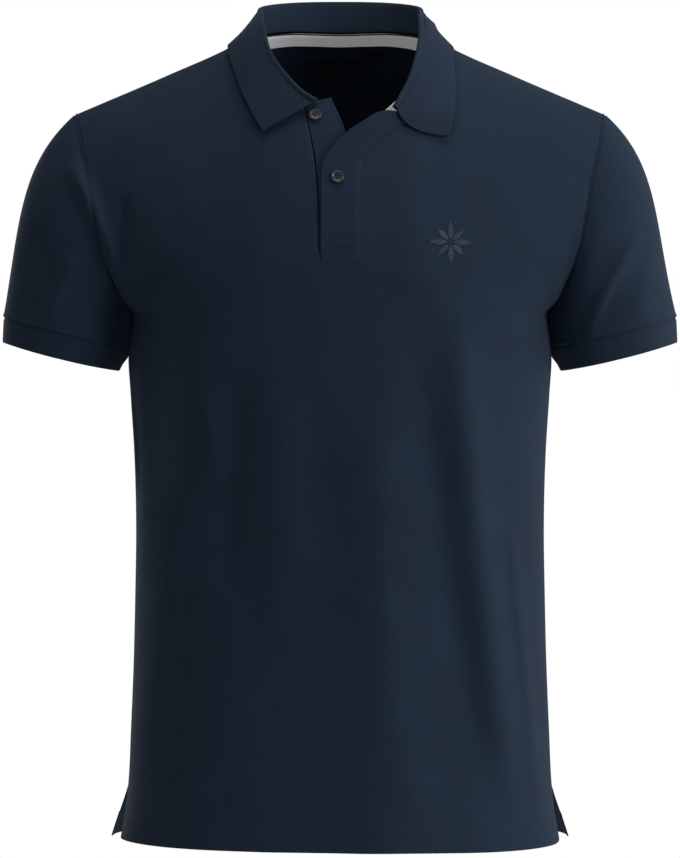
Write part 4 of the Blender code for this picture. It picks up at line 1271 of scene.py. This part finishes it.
class POLO_OT_plackets(bpy.types.Operator):
    """Fold the two plackets of the neck opening"""
    bl_idname = "polo.plackets"
    bl_label = "Plackets"

    def execute(self, context):
        wall = sizes().placket_wall
        look = look_of("pique_knit")
        x, z, _ = strip_grid(UNDER_PLACKET, 30, 70)
        outward = panel_normal(x, z, "front")
        away = np.linspace(0.0, 1.0, 31)[:, None] * np.abs(x[0] - x[-1])
        groove = BOX_DEPTH * bell(away - 0.0036, 0.0008)
        grid = on_panel(x, z, "front") - outward * groove[:, :, None]
        lower = cloth_sheet("placket_under_cloth", grid, grid_uv(grid, 0), outward, look)
        give_wall(lower, wall, edge=0.0005)
        x, z, roll = strip_grid(TOP_PLACKET, 20, 96)
        normals = panel_normal(x, z, "front")
        share = np.linspace(0.0, 1.0, x.shape[0])[:, None]
        pressed = np.maximum(ease(0.84, 0.99, share), ease(-0.1930, -0.2070, z))
        rise = (SEAM_GAP + wall) * (1 - pressed) + PRESSED_RISE * pressed + roll * (1 - pressed)
        inside = ease(-0.0164, -0.0148, x) * ease(0.0172, 0.0156, x)
        for level in BOX_LINES:
            rise = rise - BOX_DEPTH * bell(z - level, BOX_REACH) * inside
        base = lift_over(tree_of("front_cloth", "placket_under_cloth"), on_panel(x, z, "front"),
                         normals, rise)
        upper = cloth_sheet("placket_top_cloth", base, grid_uv(base, 0), normals, look)
        give_wall(upper, wall, edge=0.0003)
        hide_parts("placket_under")
        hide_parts("placket_top")
        return {"FINISHED"}


# ---------------------------------------------------------------- collar

def neck_edge():
    """Points right round the neck opening, from under placket to left front."""
    placket = [on_panel(p.x, p.z, "front") for p in UNDER_PLACKET_TOP]
    shares = np.linspace(0.0, 1.0, 33)
    right = edge_at(NECK_RIGHT_SIDE, shares)
    left = edge_at(NECK_LEFT_SIDE, shares)
    back = edge_at(back_neckline(), shares)
    right = on_panel(right[:, 0], right[:, 1], "front")
    left = on_panel(left[:, 0], left[:, 1], "front")
    back = on_panel(back[:, 0], back[:, 1], "back")
    mirrored = back[:0:-1] * np.array((-1.0, 1.0, 1.0))
    return np.concatenate((np.array(placket), right[:-1], mirrored[1:], back[:-1], left[::-1]))


def nearest_on(line, point):
    """Point of a polyline nearest to a given one."""
    starts = line[:-1]
    steps = line[1:] - starts
    shares = ((point - starts) * steps).sum(axis=1) / np.maximum((steps * steps).sum(axis=1), 1e-12)
    feet = starts + steps * np.clip(shares, 0.0, 1.0)[:, None]
    return feet[np.argmin(np.linalg.norm(feet - point, axis=1))]


NECK_HEART = np.array((0.0, 0.0, -0.05))    # a point inside the neck; the collar faces away
COLLAR_STATIONS = 200
STAND_CELLS = 8
FOLD_CELLS = 8
FALL_CELLS = 26
SEAM_BLUR = 3               # stations on each side that smooth the collar's seam line
LIFT_LIMIT = 0.004          # the most that one round of lifting moves a point
# Rounds of lifting the fall off the cloth: share of the clearance, passes of smoothing
LIFT_ROUNDS = ((1.0, 20), (1.0, 10), (0.7, 4))


def collar_section(station):
    """Middle surface of the collar at one station: up the stand, over, down the fall."""
    fold, seam, edge, bow = station[0:3], station[3:6], station[6:9], station[9:12]
    across = unit(edge - seam)
    upward = fold - seam
    upward = unit(upward - across * upward.dot(across))
    centre = fold - upward * FOLD_RADIUS
    turn = np.linspace(0.0, math.pi, FOLD_CELLS + 1)[:, None]
    arc = centre + FOLD_RADIUS * (-across * np.cos(turn) + upward * np.sin(turn))
    share = np.linspace(0.0, 1.0, STAND_CELLS + 1)[:-1, None]
    stand = seam * (1 - share) + arc[0] * share
    share = spread(FALL_CELLS, end_close=2, close=0.012)[1:, None]
    sag = 4 * share * (1 - share)
    fall = arc[-1] * (1 - share) + edge * share + (bow + upward * FALL_ARCH) * sag
    return np.concatenate((stand, arc, fall))


def short_of(trees, point, outward, gap):
    """How far a point has to move outward to be a gap away from the sheets below it."""
    need = 0.0
    for tree in trees:
        near, normal, _, _ = tree.find_nearest(point)
        if (point - near).length > PROBE:
            continue
        if normal.dot(outward) < 0:
            normal = -normal
        need = max(need, (gap - (point - near).dot(normal)) / max(normal.dot(outward), 0.6))
    return need


def blurred(field, passes):
    """A grid of numbers averaged with its neighbours; its first column stays at rest."""
    for _ in range(passes):
        wide = np.concatenate((field[:1], field, field[-1:]))
        field = (wide[:-2] + 2 * wide[1:-1] + wide[2:]) / 4
        tall = np.concatenate((field[:, :1], field, field[:, -1:]), axis=1)
        field = (tall[:, :-2] + 2 * tall[:, 1:-1] + tall[:, 2:]) / 4
        field[:, 0] = 0.0
    return field


def collar_grid(trees):
    flat = [np.concatenate((row.fold, row.seam, row.edge, row.bow)) for row in COLLAR]
    stations = along_at(flat, spread(COLLAR_STATIONS, 2, 2, close=0.0015))
    line = neck_edge()
    feet = np.array([nearest_on(line, station[3:6]) for station in stations])
    kernel = np.hanning(2 * SEAM_BLUR + 3)[1:-1]
    kernel /= kernel.sum()
    ends = [end.repeat(SEAM_BLUR, axis=0) for end in (feet[:1], feet[-1:])]
    padded = np.concatenate((ends[0], feet, ends[1]))
    feet = np.stack([np.convolve(padded[:, a], kernel, mode="valid") for a in range(3)], axis=1)
    sections = []
    for station, foot in zip(stations, feet):
        station[3:6] = foot + unit(station[0:3] - foot) * STAND_LIFT
        sections.append(collar_section(station))
    grid = np.array(sections)
    gap = COLLAR_CLEARANCE + sizes().rib_wall / 2
    start = STAND_CELLS + FOLD_CELLS
    fall = grid[:, start:]
    outward = grid_normals(grid, grid - NECK_HEART)[:, start:]
    shift = np.zeros(fall.shape[:2])
    for gap_share, passes in LIFT_ROUNDS:
        for index in np.ndindex(shift.shape):
            point = fall[index] + outward[index] * shift[index]
            need = short_of(trees, Vector(point), Vector(outward[index]), gap * gap_share)
            shift[index] += min(need, LIFT_LIMIT)
        shift = blurred(shift, passes)
    grid[:, start:] = fall + outward * shift[:, :, None]
    return grid


class POLO_OT_collar(bpy.types.Operator):
    """Knit the flat collar and turn it down"""
    bl_idname = "polo.collar"
    bl_label = "Collar"

    def execute(self, context):
        trees = tree_of("front_cloth", "back_cloth", "placket_under_cloth", "placket_top_cloth")
        grid = collar_grid(trees)
        outward = grid - NECK_HEART
        outward[:, :STAND_CELLS] *= -1.0
        piece = cloth_sheet("collar_rib", grid, grid_uv(grid, grid.shape[0] // 2), outward,
                            look_of("rib_knit"))
        give_wall(piece, sizes().rib_wall, offset=0.0, edge=0.0005)
        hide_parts("collar")
        return {"FINISHED"}


# ---------------------------------------------------------------- tape and labels

def inside_of(points, outward):
    """Points moved to the inside of a panel, a gap away from it."""
    return points - outward * (sizes().panel_wall + 2 * SEAM_GAP)


TAPE_CELLS = 120
TAPE_WALL = 0.0008
LABEL_WALL = 0.0007
LABEL_HANG = 0.0006         # how far a label's foot hangs off the cloth

# Two sides of the tape's turned end, and how far forward it lies
TapeEnd = namedtuple("TapeEnd", "inner_x inner_z outer_x outer_z y")
TAPE_END = rows_of(
    TapeEnd,
    (0.0625, -0.0440, 0.0705, -0.0480, -0.0590),
    (0.0545, -0.0580, 0.0630, -0.0620, -0.0715),
    (0.0465, -0.0668, 0.0560, -0.0720, -0.0775),
    (0.0396, -0.0735, 0.0490, -0.0800, -0.0800),
    (0.0370, -0.0790, 0.0450, -0.0850, -0.0810),
)


class POLO_OT_neck_tape(bpy.types.Operator):
    """Sew the cotton tape over the neck seam, with its turned end at the left front"""
    bl_idname = "polo.neck_tape"
    bl_label = "Neck tape"

    def execute(self, context):
        neckline = np.array(back_neckline())
        line = np.concatenate((neckline[:0:-1] * (-1, 1), neckline))
        line = edge_at(line, np.linspace(0.012, 0.988, TAPE_CELLS + 1))
        share = np.linspace(0.0, 1.0, 9)[None, :]
        x = line[:, 0][:, None] + 0 * share
        z = (line[:, 1] + TAPE_RISE)[:, None] - TAPE_WIDTH * share
        below = np.minimum(z, line[:, 1][:, None] - 0.0008)
        normals = panel_normal(x, below, "back")
        grid = inside_of(on_panel(x, below, "back"), normals)
        grid[:, :, 2] += z - below
        piece = cloth_sheet("neck_tape_cloth", grid, grid_uv(grid, TAPE_CELLS // 2), normals,
                            look_of("neck_tape_cotton"))
        give_wall(piece, TAPE_WALL, edge=0.0002)
        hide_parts("neck_tape")
        inner = along_at([(r.inner_x, r.y, r.inner_z) for r in TAPE_END], np.linspace(0, 1, 31))
        outer = along_at([(r.outer_x, r.y, r.outer_z) for r in TAPE_END], np.linspace(0, 1, 31))
        share = share[:, :, None]
        grid = inner[:, None] * (1 - share) + outer[:, None] * share
        grid[:, :, 1] += 0.0015 * np.sin(math.pi * share[:, :, 0])
        outward = np.zeros_like(grid) + np.array((0.0, -1.0, 0.0))
        end = cloth_sheet("neck_tape_end_cloth", grid, grid_uv(grid, 15), outward,
                          look_of("neck_tape_cotton"))
        give_wall(end, LABEL_WALL, edge=0.0002)
        return {"FINISHED"}


Label = namedtuple("Label", "name left right top foot")
LABELS = rows_of(
    Label,
    ("neck_label", -0.0305, 0.0220, -0.0090, -0.0256),
    ("size_label", 0.0224, 0.0398, -0.0020, -0.0115),
)


class POLO_OT_labels(bpy.types.Operator):
    """Lay the bare satin labels inside the back neck"""
    bl_idname = "polo.labels"
    bl_label = "Labels"

    def execute(self, context):
        for label in LABELS:
            x = np.linspace(label.left, label.right, 31)[:, None]
            z = np.linspace(label.top, label.foot, 13)[None, :]
            x, z = np.broadcast_arrays(x, z)
            normals = panel_normal(x, z, "back")
            grid = inside_of(on_panel(x, z, "back"), normals)
            loose = np.linspace(0.0, 1.0, 13)[None, :, None] ** 2
            grid = grid - normals * LABEL_HANG * loose
            piece = cloth_sheet(label.name + "_satin", grid, grid_uv(grid, 15), normals,
                                look_of("label_satin"))
            give_wall(piece, LABEL_WALL, edge=0.00025)
            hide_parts(label.name)
        return {"FINISHED"}


# ---------------------------------------------------------------- buttons

ButtonPlace = namedtuple("ButtonPlace", "name x z lift turn")
BUTTONS = rows_of(
    ButtonPlace,
    ("button_lower", -0.0022, -0.1340, 0.0006, 12.0),
    ("button_upper", -0.0215, -0.0780, 0.0006, 40.0),
)
# radius and height as shares of the button's radius
BUTTON_PROFILE = (
    (0.00, 0.00), (0.80, 0.00), (0.93, 0.04), (1.00, 0.16), (1.00, 0.26), (0.97, 0.35),
    (0.90, 0.41), (0.82, 0.42), (0.74, 0.38), (0.66, 0.30), (0.56, 0.27), (0.00, 0.27),
)
HOLE_RADIUS = 0.00080
HOLE_REACH = 0.00165        # distance of a hole from the button's centre
STRAND_SHIFT = 0.00022
STRAND_LIFT = 0.00010
STRAND_RADIUS = 0.00030
SHANK_DEPTH = 0.0021
SHANK_RADIUS = 0.0009


def button_form(radius):
    """A turned button: the profile spun round, with its doubles merged."""
    form = bmesh.new()
    verts = [form.verts.new((r * radius, 0.0, h * radius)) for r, h in BUTTON_PROFILE]
    edges = [form.edges.new(pair) for pair in zip(verts, verts[1:])]
    bmesh.ops.spin(form, geom=verts + edges, cent=(0, 0, 0), axis=(0, 0, 1),
                   angle=2 * math.pi, steps=48, use_merge=True)
    bmesh.ops.remove_doubles(form, verts=form.verts, dist=0.00001)
    bmesh.ops.recalc_face_normals(form, faces=form.faces)
    return form


def hole_places(turn):
    """(x, y) of the four holes of a button turned by an angle."""
    angles = [turn + math.pi / 4 + math.pi / 2 * k for k in range(4)]
    return [(math.cos(angle) * HOLE_REACH, math.sin(angle) * HOLE_REACH) for angle in angles]


def hole_form(turn):
    form = bmesh.new()
    for x, y in hole_places(turn):
        bmesh.ops.create_cone(form, cap_ends=True, segments=20, radius1=HOLE_RADIUS,
                              radius2=HOLE_RADIUS, depth=0.02, matrix=Matrix.Translation((x, y, 0)))
    return form


def drilled(form, holes):
    """The form with the holes cut through it, as one mesh."""
    objects = []
    for name, shape in (("button_blank", form), ("button_drill", holes)):
        mesh = bpy.data.meshes.new(name)
        shape.to_mesh(mesh)
        shape.free()
        made = bpy.data.objects.new(name, mesh)
        bpy.context.scene.collection.objects.link(made)
        objects.append(made)
    cut = objects[0].modifiers.new("holes", "BOOLEAN")
    cut.operation = "DIFFERENCE"
    cut.solver = "EXACT"
    cut.object = objects[1]
    graph = bpy.context.evaluated_depsgraph_get()
    result = bmesh.new()
    result.from_mesh(objects[0].evaluated_get(graph).to_mesh())
    objects[0].evaluated_get(graph).to_mesh_clear()
    for made in objects:
        mesh = made.data
        bpy.data.objects.remove(made, do_unlink=True)
        bpy.data.meshes.remove(mesh)
    return result


def add_thread(form, start, end, radius, sides=6):
    """A slim closed strand between two points, pointed at both ends."""
    start = Vector(start)
    end = Vector(end)
    run = end - start
    turn = run.to_track_quat("Z", "X").to_matrix().to_4x4()
    size = Matrix.Diagonal((radius, radius, run.length / 2, 1.0))
    strand = bmesh.new()
    bmesh.ops.create_uvsphere(strand, u_segments=sides, v_segments=4, radius=1.0,
                              matrix=Matrix.Translation((start + end) / 2) @ turn @ size)
    mesh = bpy.data.meshes.get("strand") or bpy.data.meshes.new("strand")
    strand.to_mesh(mesh)
    strand.free()
    form.from_mesh(mesh)


def thread_form(turn, level):
    """Two pairs of strands over the holes, and the shanks below them."""
    form = bmesh.new()
    corners = [Vector((x, y, level)) for x, y in hole_places(turn)]
    for first, second in ((0, 1), (2, 3)):
        middle = (corners[first] + corners[second]) / 2
        side = (corners[first] + corners[second]).normalized()
        for shift in (-STRAND_SHIFT, STRAND_SHIFT):
            lift = Vector((0, 0, STRAND_LIFT)) + side * shift
            add_thread(form, corners[first] * 1.02 + lift, corners[second] * 1.02 + lift,
                       STRAND_RADIUS, 8)
        add_thread(form, middle * 0.4 - Vector((0, 0, level)),
                   middle * 0.4 - Vector((0, 0, SHANK_DEPTH)), SHANK_RADIUS, 8)
    return form


class POLO_OT_buttons(bpy.types.Operator):
    """Sew on the two four-hole buttons"""
    bl_idname = "polo.buttons"
    bl_label = "Buttons"

    def execute(self, context):
        radius = sizes().button_radius
        trees = tree_of("front_cloth", "placket_top_cloth", "placket_under_cloth")
        for spot in BUTTONS:
            seat, _ = seen_point(trees, spot.x, spot.z)
            normal = Vector(panel_normal(np.array(spot.x), np.array(spot.z), "front"))
            place = (Matrix.Translation(seat + normal * spot.lift)
                     @ normal.to_track_quat("Z", "Y").to_matrix().to_4x4())
            turn = math.radians(spot.turn)
            form = drilled(button_form(radius), hole_form(turn))
            bmesh.ops.transform(form, matrix=place, verts=form.verts)
            piece = new_object(spot.name + "_pearl", form, look_of("button_pearl"), 40)
            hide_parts(spot.name)
            threads = thread_form(turn, radius * BUTTON_PROFILE[-1][1])
            bmesh.ops.transform(threads, matrix=place, verts=threads.verts)
            sewn = new_object(spot.name + "_thread", threads, look_of("sewing_thread"))
        return {"FINISHED"}


# ---------------------------------------------------------------- stitching

HEM_ROWS = (-0.0022, -0.0048)   # levels of the hem's two rows of stitches, from its top
SIDE_MARGIN = 0.0012            # what a row leaves free at each side seam
CUFF_ROW = 0.0060               # distance of a sleeve's row from its cuff
# (x, z) up the top placket where it is sewn to the front
SEWN_LINE = ((0.0164, -0.2065), (0.0164, -0.1480), (0.0168, -0.1250), (0.0188, -0.1120))


def stitch_run(form, points, normals):
    """Stitches along a line of points, half sunk in the cloth."""
    setting = sizes()
    points = np.asarray(points, dtype=float)
    normals = np.asarray(normals, dtype=float)
    steps = np.linalg.norm(np.diff(points, axis=0), axis=1)
    reach = np.concatenate(([0.0], np.cumsum(steps)))
    pitch = setting.stitch_length + setting.stitch_gap
    count = max(int(reach[-1] / pitch), 1)
    for k in range(count):
        ends = (np.array((0.0, setting.stitch_length)) + k * reach[-1] / count
                + setting.stitch_gap / 2)
        ends = [[np.interp(e, reach, points[:, a]) for a in range(3)] for e in ends]
        lift = [np.interp(k * reach[-1] / count, reach, normals[:, a]) for a in range(3)]
        shift = Vector(lift) * setting.stitch_radius * 0.45
        add_thread(form, Vector(ends[0]) + shift, Vector(ends[1]) + shift,
                   setting.stitch_radius)


def seen_line(trees, corners, step=0.004):
    """Points and normals on the cloth along straight runs between (x, z) corners."""
    points = []
    normals = []
    for (x0, z0), (x1, z1) in zip(corners, corners[1:]):
        count = max(int(math.hypot(x1 - x0, z1 - z0) / step), 2)
        for k in range(count + (1 if (x1, z1) == corners[-1] else 0)):
            t = k / count
            point, normal = seen_point(trees, x0 + (x1 - x0) * t, z0 + (z1 - z0) * t)
            points.append(tuple(point))
            normals.append(tuple(normal))
    return points, normals


def row_line(level, side):
    """x of points across a panel at one level, from side to side."""
    half = float(torso(side + "_half", level)) - SIDE_MARGIN
    return half * body_wave(np.linspace(-math.pi / 2, math.pi / 2, 90))


class POLO_OT_stitching(bpy.types.Operator):
    """Sew the visible rows of stitches"""
    bl_idname = "polo.stitching"
    bl_label = "Stitching"

    def execute(self, context):
        form = bmesh.new()
        for side in ("front", "back"):
            for drop in HEM_ROWS:
                level = hem_level() + drop
                x = row_line(level, side)
                z = np.full(len(x), level)
                points = on_panel(x, z, side)
                normals = panel_normal(x, z, side)
                across = np.abs(np.linspace(-1.0, 1.0, len(x)))
                points[:, 1] += facing_of(side) * vent_share(level) * across ** 4 * VENT_SPREAD / 2
                points += normals * HEM_RISE
                stitch_run(form, points, normals)
        for _, hand in HANDS:
            grid = sleeve_grid(hand)
            normals = grid_normals(grid, from_middle(grid))
            _, _, _, end = edge_distances(grid)
            row = int(np.argmin(np.abs(end.mean(axis=0) - CUFF_ROW)))
            stitch_run(form, beside_torso(grid, hand)[:, row], normals[:, row])
        panels = new_object("hem_stitches", form, look_of("sewing_thread"))
        form = bmesh.new()
        trees = tree_of("placket_top_cloth")
        high, low = BOX_LINES
        for corners in (SEWN_LINE, ((-0.0152, high), (0.0160, high)), ((-0.0152, low), (0.0160, low))):
            points, normals = seen_line(trees, corners)
            stitch_run(form, points, normals)
        placket = new_object("placket_stitches", form, look_of("sewing_thread"))
        return {"FINISHED"}


# ---------------------------------------------------------------- embroidery

EMBLEM_PLACE = (0.0957, -0.1900)
EMBLEM_HEART = 0.16         # radius left open in the middle, as a share of the flower's
Petal = namedtuple("Petal", "reach half strands")
PETALS = rows_of(Petal, (1.0, 0.185, 30), (0.86, 0.165, 26))    # long and short, by turns


class POLO_OT_emblem(bpy.types.Operator):
    """Embroider the plain flower on the left chest"""
    bl_idname = "polo.emblem"
    bl_label = "Embroidered flower"

    def execute(self, context):
        form = bmesh.new()
        trees = tree_of("front_cloth")
        size = sizes().emblem_radius
        petals = sizes().emblem_petals
        for petal in range(petals):
            angle = math.pi / 2 + 2 * math.pi * petal / petals
            run = (math.cos(angle), math.sin(angle))
            shape = PETALS[petal % 2]
            for k in range(shape.strands):
                t = (k + 0.5) / shape.strands
                out = size * (EMBLEM_HEART + (shape.reach - EMBLEM_HEART) * t)
                wide = size * shape.half * math.sin(math.pi * t ** 0.8) + 0.00015
                ends = []
                for sign in (-1, 1):
                    x = EMBLEM_PLACE[0] + run[0] * (out + sign * 0.0002) - run[1] * wide * sign
                    z = EMBLEM_PLACE[1] + run[1] * (out + sign * 0.0002) + run[0] * wide * sign
                    point, normal = seen_point(trees, x, z)
                    ends.append(point + normal * 0.00012)
                add_thread(form, ends[0], ends[1], 0.00032)
        piece = new_object("chest_flower_embroidery", form, look_of("embroidery_thread"))
        return {"FINISHED"}


# ---------------------------------------------------------------- folds in every piece

RIGID_PIECES = ("button_lower_pearl", "button_lower_thread",
                "button_upper_pearl", "button_upper_thread")


class POLO_OT_folds(bpy.types.Operator):
    """Let the cloth and all that is on it fall into its folds"""
    bl_idname = "polo.folds"
    bl_label = "Folds"

    def execute(self, context):
        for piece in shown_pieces():
            if "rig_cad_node" in piece:
                continue
            mesh = piece.data
            points = np.empty(len(mesh.vertices) * 3)
            mesh.vertices.foreach_get("co", points)
            points = points.reshape(-1, 3)
            if piece.name in RIGID_PIECES:
                middle = points.mean(axis=0, keepdims=True)
                moved = points + settle(middle) - middle
            else:
                moved = settle(points)
            mesh.vertices.foreach_set("co", moved.reshape(-1))
            mesh.update()
        return {"FINISHED"}


# ---------------------------------------------------------------- what the cloth was cut to

Cut = namedtuple("Cut", "piece flat area held rests_on")
CUTS = rows_of(
    Cut,
    ("front_cloth", (0.54, 0.74), 0.340, "hung", ("back_cloth",)),
    ("back_cloth", (0.55, 0.77), 0.368, "hung", ("front_cloth",)),
    ("sleeve_right_cloth", (0.38, 0.20), 0.046, "hung", ("front_cloth", "back_cloth")),
    ("sleeve_left_cloth", (0.38, 0.20), 0.046, "hung", ("front_cloth", "back_cloth")),
    ("cuff_right_rib", (0.34, 0.024), None, "hung", ("sleeve_right_cloth",)),
    ("cuff_left_rib", (0.34, 0.024), None, "hung", ("sleeve_left_cloth",)),
    ("collar_rib", (0.44, 0.075), None, "folded", ("front_cloth", "back_cloth")),
    ("placket_top_cloth", (0.034, 0.155), None, "laid", ("front_cloth",)),
    ("placket_under_cloth", (0.034, 0.140), None, "laid", ("front_cloth",)),
    ("neck_tape_cloth", (0.225, 0.0115), None, "laid", ("back_cloth",)),
    ("neck_tape_end_cloth", (0.045, 0.0100), None, "laid", ("collar_rib",)),
    ("neck_label_satin", (0.053, 0.017), None, "laid", ("back_cloth",)),
    ("size_label_satin", (0.0175, 0.0100), None, "laid", ("back_cloth",)),
)


class POLO_OT_cuts(bpy.types.Operator):
    """Takes no step; the flat sizes that the pieces were cut to stand in the table above"""
    bl_idname = "polo.cuts"
    bl_label = "Flat sizes"

    def execute(self, context):
        return {"FINISHED"}


# ---------------------------------------------------------------- stage

FLOOR_HALF = 1.5
LIT_MIDDLE = (0.0, 0.0, -0.33)      # what every lamp is turned to
Lamp = namedtuple("Lamp", "name place width height power")
LAMPS = rows_of(
    Lamp,
    ("key_light", (2.4, -1.4, 0.35), 1.3, 1.5, "key_power"),
    ("side_light", (2.75, 0.5, 0.15), 1.3, 1.5, "side_power"),
    ("rim_light", (-1.6, 2.4, 0.1), 0.8, 1.6, "rim_power"),
    ("top_light", (0.0, -0.3, 1.90), 1.6, 1.2, "top_power"),
)


def area_light(lamp, power):
    light = bpy.data.lights.new(lamp.name, "AREA")
    light.energy = power
    light.shape = "RECTANGLE"
    light.size = lamp.width
    light.size_y = lamp.height
    made = bpy.data.objects.new(lamp.name, light)
    bpy.context.scene.collection.objects.link(made)
    made.location = lamp.place
    towards = Vector(LIT_MIDDLE) - Vector(lamp.place)
    made.rotation_euler = towards.to_track_quat("-Z", "Y").to_euler()


class POLO_OT_stage(bpy.types.Operator):
    """Set the pale floor, the white surroundings, the soft lights and the camera"""
    bl_idname = "polo.stage"
    bl_label = "Stage"

    def execute(self, context):
        scene = context.scene
        stage = scene.polo_stage
        form = bmesh.new()
        bmesh.ops.create_grid(form, x_segments=8, y_segments=8, size=FLOOR_HALF)
        bmesh.ops.translate(form, verts=form.verts, vec=(0.0, 0.0, stage.floor_level))
        mesh = bpy.data.meshes.new("floor")
        form.to_mesh(mesh)
        form.free()
        floor = bpy.data.objects.new("floor", mesh)
        scene.collection.objects.link(floor)
        floor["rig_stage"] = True
        look, tree, shader = new_look("floor_paper", 0.9, specular=0.2)
        grain = node(tree, "ShaderNodeTexNoise", {"Scale": 4.0, "Detail": 3.0})
        tint = mixed(tree, grain.outputs[0], (0.80, 0.80, 0.80), (0.84, 0.84, 0.84))
        tree.links.new(tint, shader.inputs["Base Color"])
        mesh.materials.append(look)
        world = bpy.data.worlds.new("studio")
        scene.world = world
        world.use_nodes = True
        tree = world.node_tree
        tree.nodes.clear()
        seen = node(tree, "ShaderNodeBackground", {"Color": (1.0, 1.0, 1.0, 1.0), "Strength": 1.0})
        lit = node(tree, "ShaderNodeBackground",
                   {"Color": (0.95, 0.97, 1.0, 1.0), "Strength": stage.ambient})
        path = node(tree, "ShaderNodeLightPath")
        mix = node(tree, "ShaderNodeMixShader", {0: path.outputs["Is Camera Ray"]})
        tree.links.new(lit.outputs[0], mix.inputs[1])
        tree.links.new(seen.outputs[0], mix.inputs[2])
        out = node(tree, "ShaderNodeOutputWorld")
        tree.links.new(mix.outputs[0], out.inputs["Surface"])
        for lamp in LAMPS:
            area_light(lamp, getattr(stage, lamp.power))
        lens = bpy.data.cameras.new("camera")
        lens.lens = stage.lens
        lens.sensor_width = 36.0
        lens.dof.use_dof = False
        camera = bpy.data.objects.new("camera", lens)
        scene.collection.objects.link(camera)
        camera.location = (0.0, -stage.camera_distance, stage.camera_height)
        camera.rotation_euler = (math.pi / 2, 0.0, 0.0)
        scene.camera = camera
        scene.view_settings.view_transform = "Standard"
        return {"FINISHED"}


# ---------------------------------------------------------------- the add-on

STEPS = (
    POLO_OT_panels,
    POLO_OT_sleeves,
    POLO_OT_cuffs,
    POLO_OT_plackets,
    POLO_OT_collar,
    POLO_OT_neck_tape,
    POLO_OT_labels,
    POLO_OT_buttons,
    POLO_OT_stitching,
    POLO_OT_emblem,
    POLO_OT_folds,
    POLO_OT_cuts,
    POLO_OT_stage,
)


class POLO_PT_sidebar(bpy.types.Panel):
    """Lists the steps that build the shirt"""
    bl_idname = "POLO_PT_sidebar"
    bl_label = "Polo Shirt"
    bl_space_type = "VIEW_3D"
    bl_region_type = "UI"
    bl_category = "Polo Shirt"

    def draw(self, context):
        for step in STEPS:
            self.layout.operator(step.bl_idname)
        for group in (context.scene.polo_sizes, context.scene.polo_colours,
                      context.scene.polo_stage):
            box = self.layout.box()
            for name in group.__annotations__:
                box.prop(group, name)


GROUPS = {"polo_sizes": PoloSizes, "polo_colours": PoloColours, "polo_stage": PoloStage}
CLASSES = (*GROUPS.values(), *STEPS, POLO_PT_sidebar)


def register():
    for cls in CLASSES:
        bpy.utils.register_class(cls)
    for name, group in GROUPS.items():
        setattr(bpy.types.Scene, name, PointerProperty(type=group))


def unregister():
    for name in GROUPS:
        delattr(bpy.types.Scene, name)
    for cls in reversed(CLASSES):
        bpy.utils.unregister_class(cls)


def main():
    register()
    for step in STEPS:
        family, action = step.bl_idname.split(".")
        getattr(getattr(bpy.ops, family), action)()


if __name__ == "__main__":
    main()
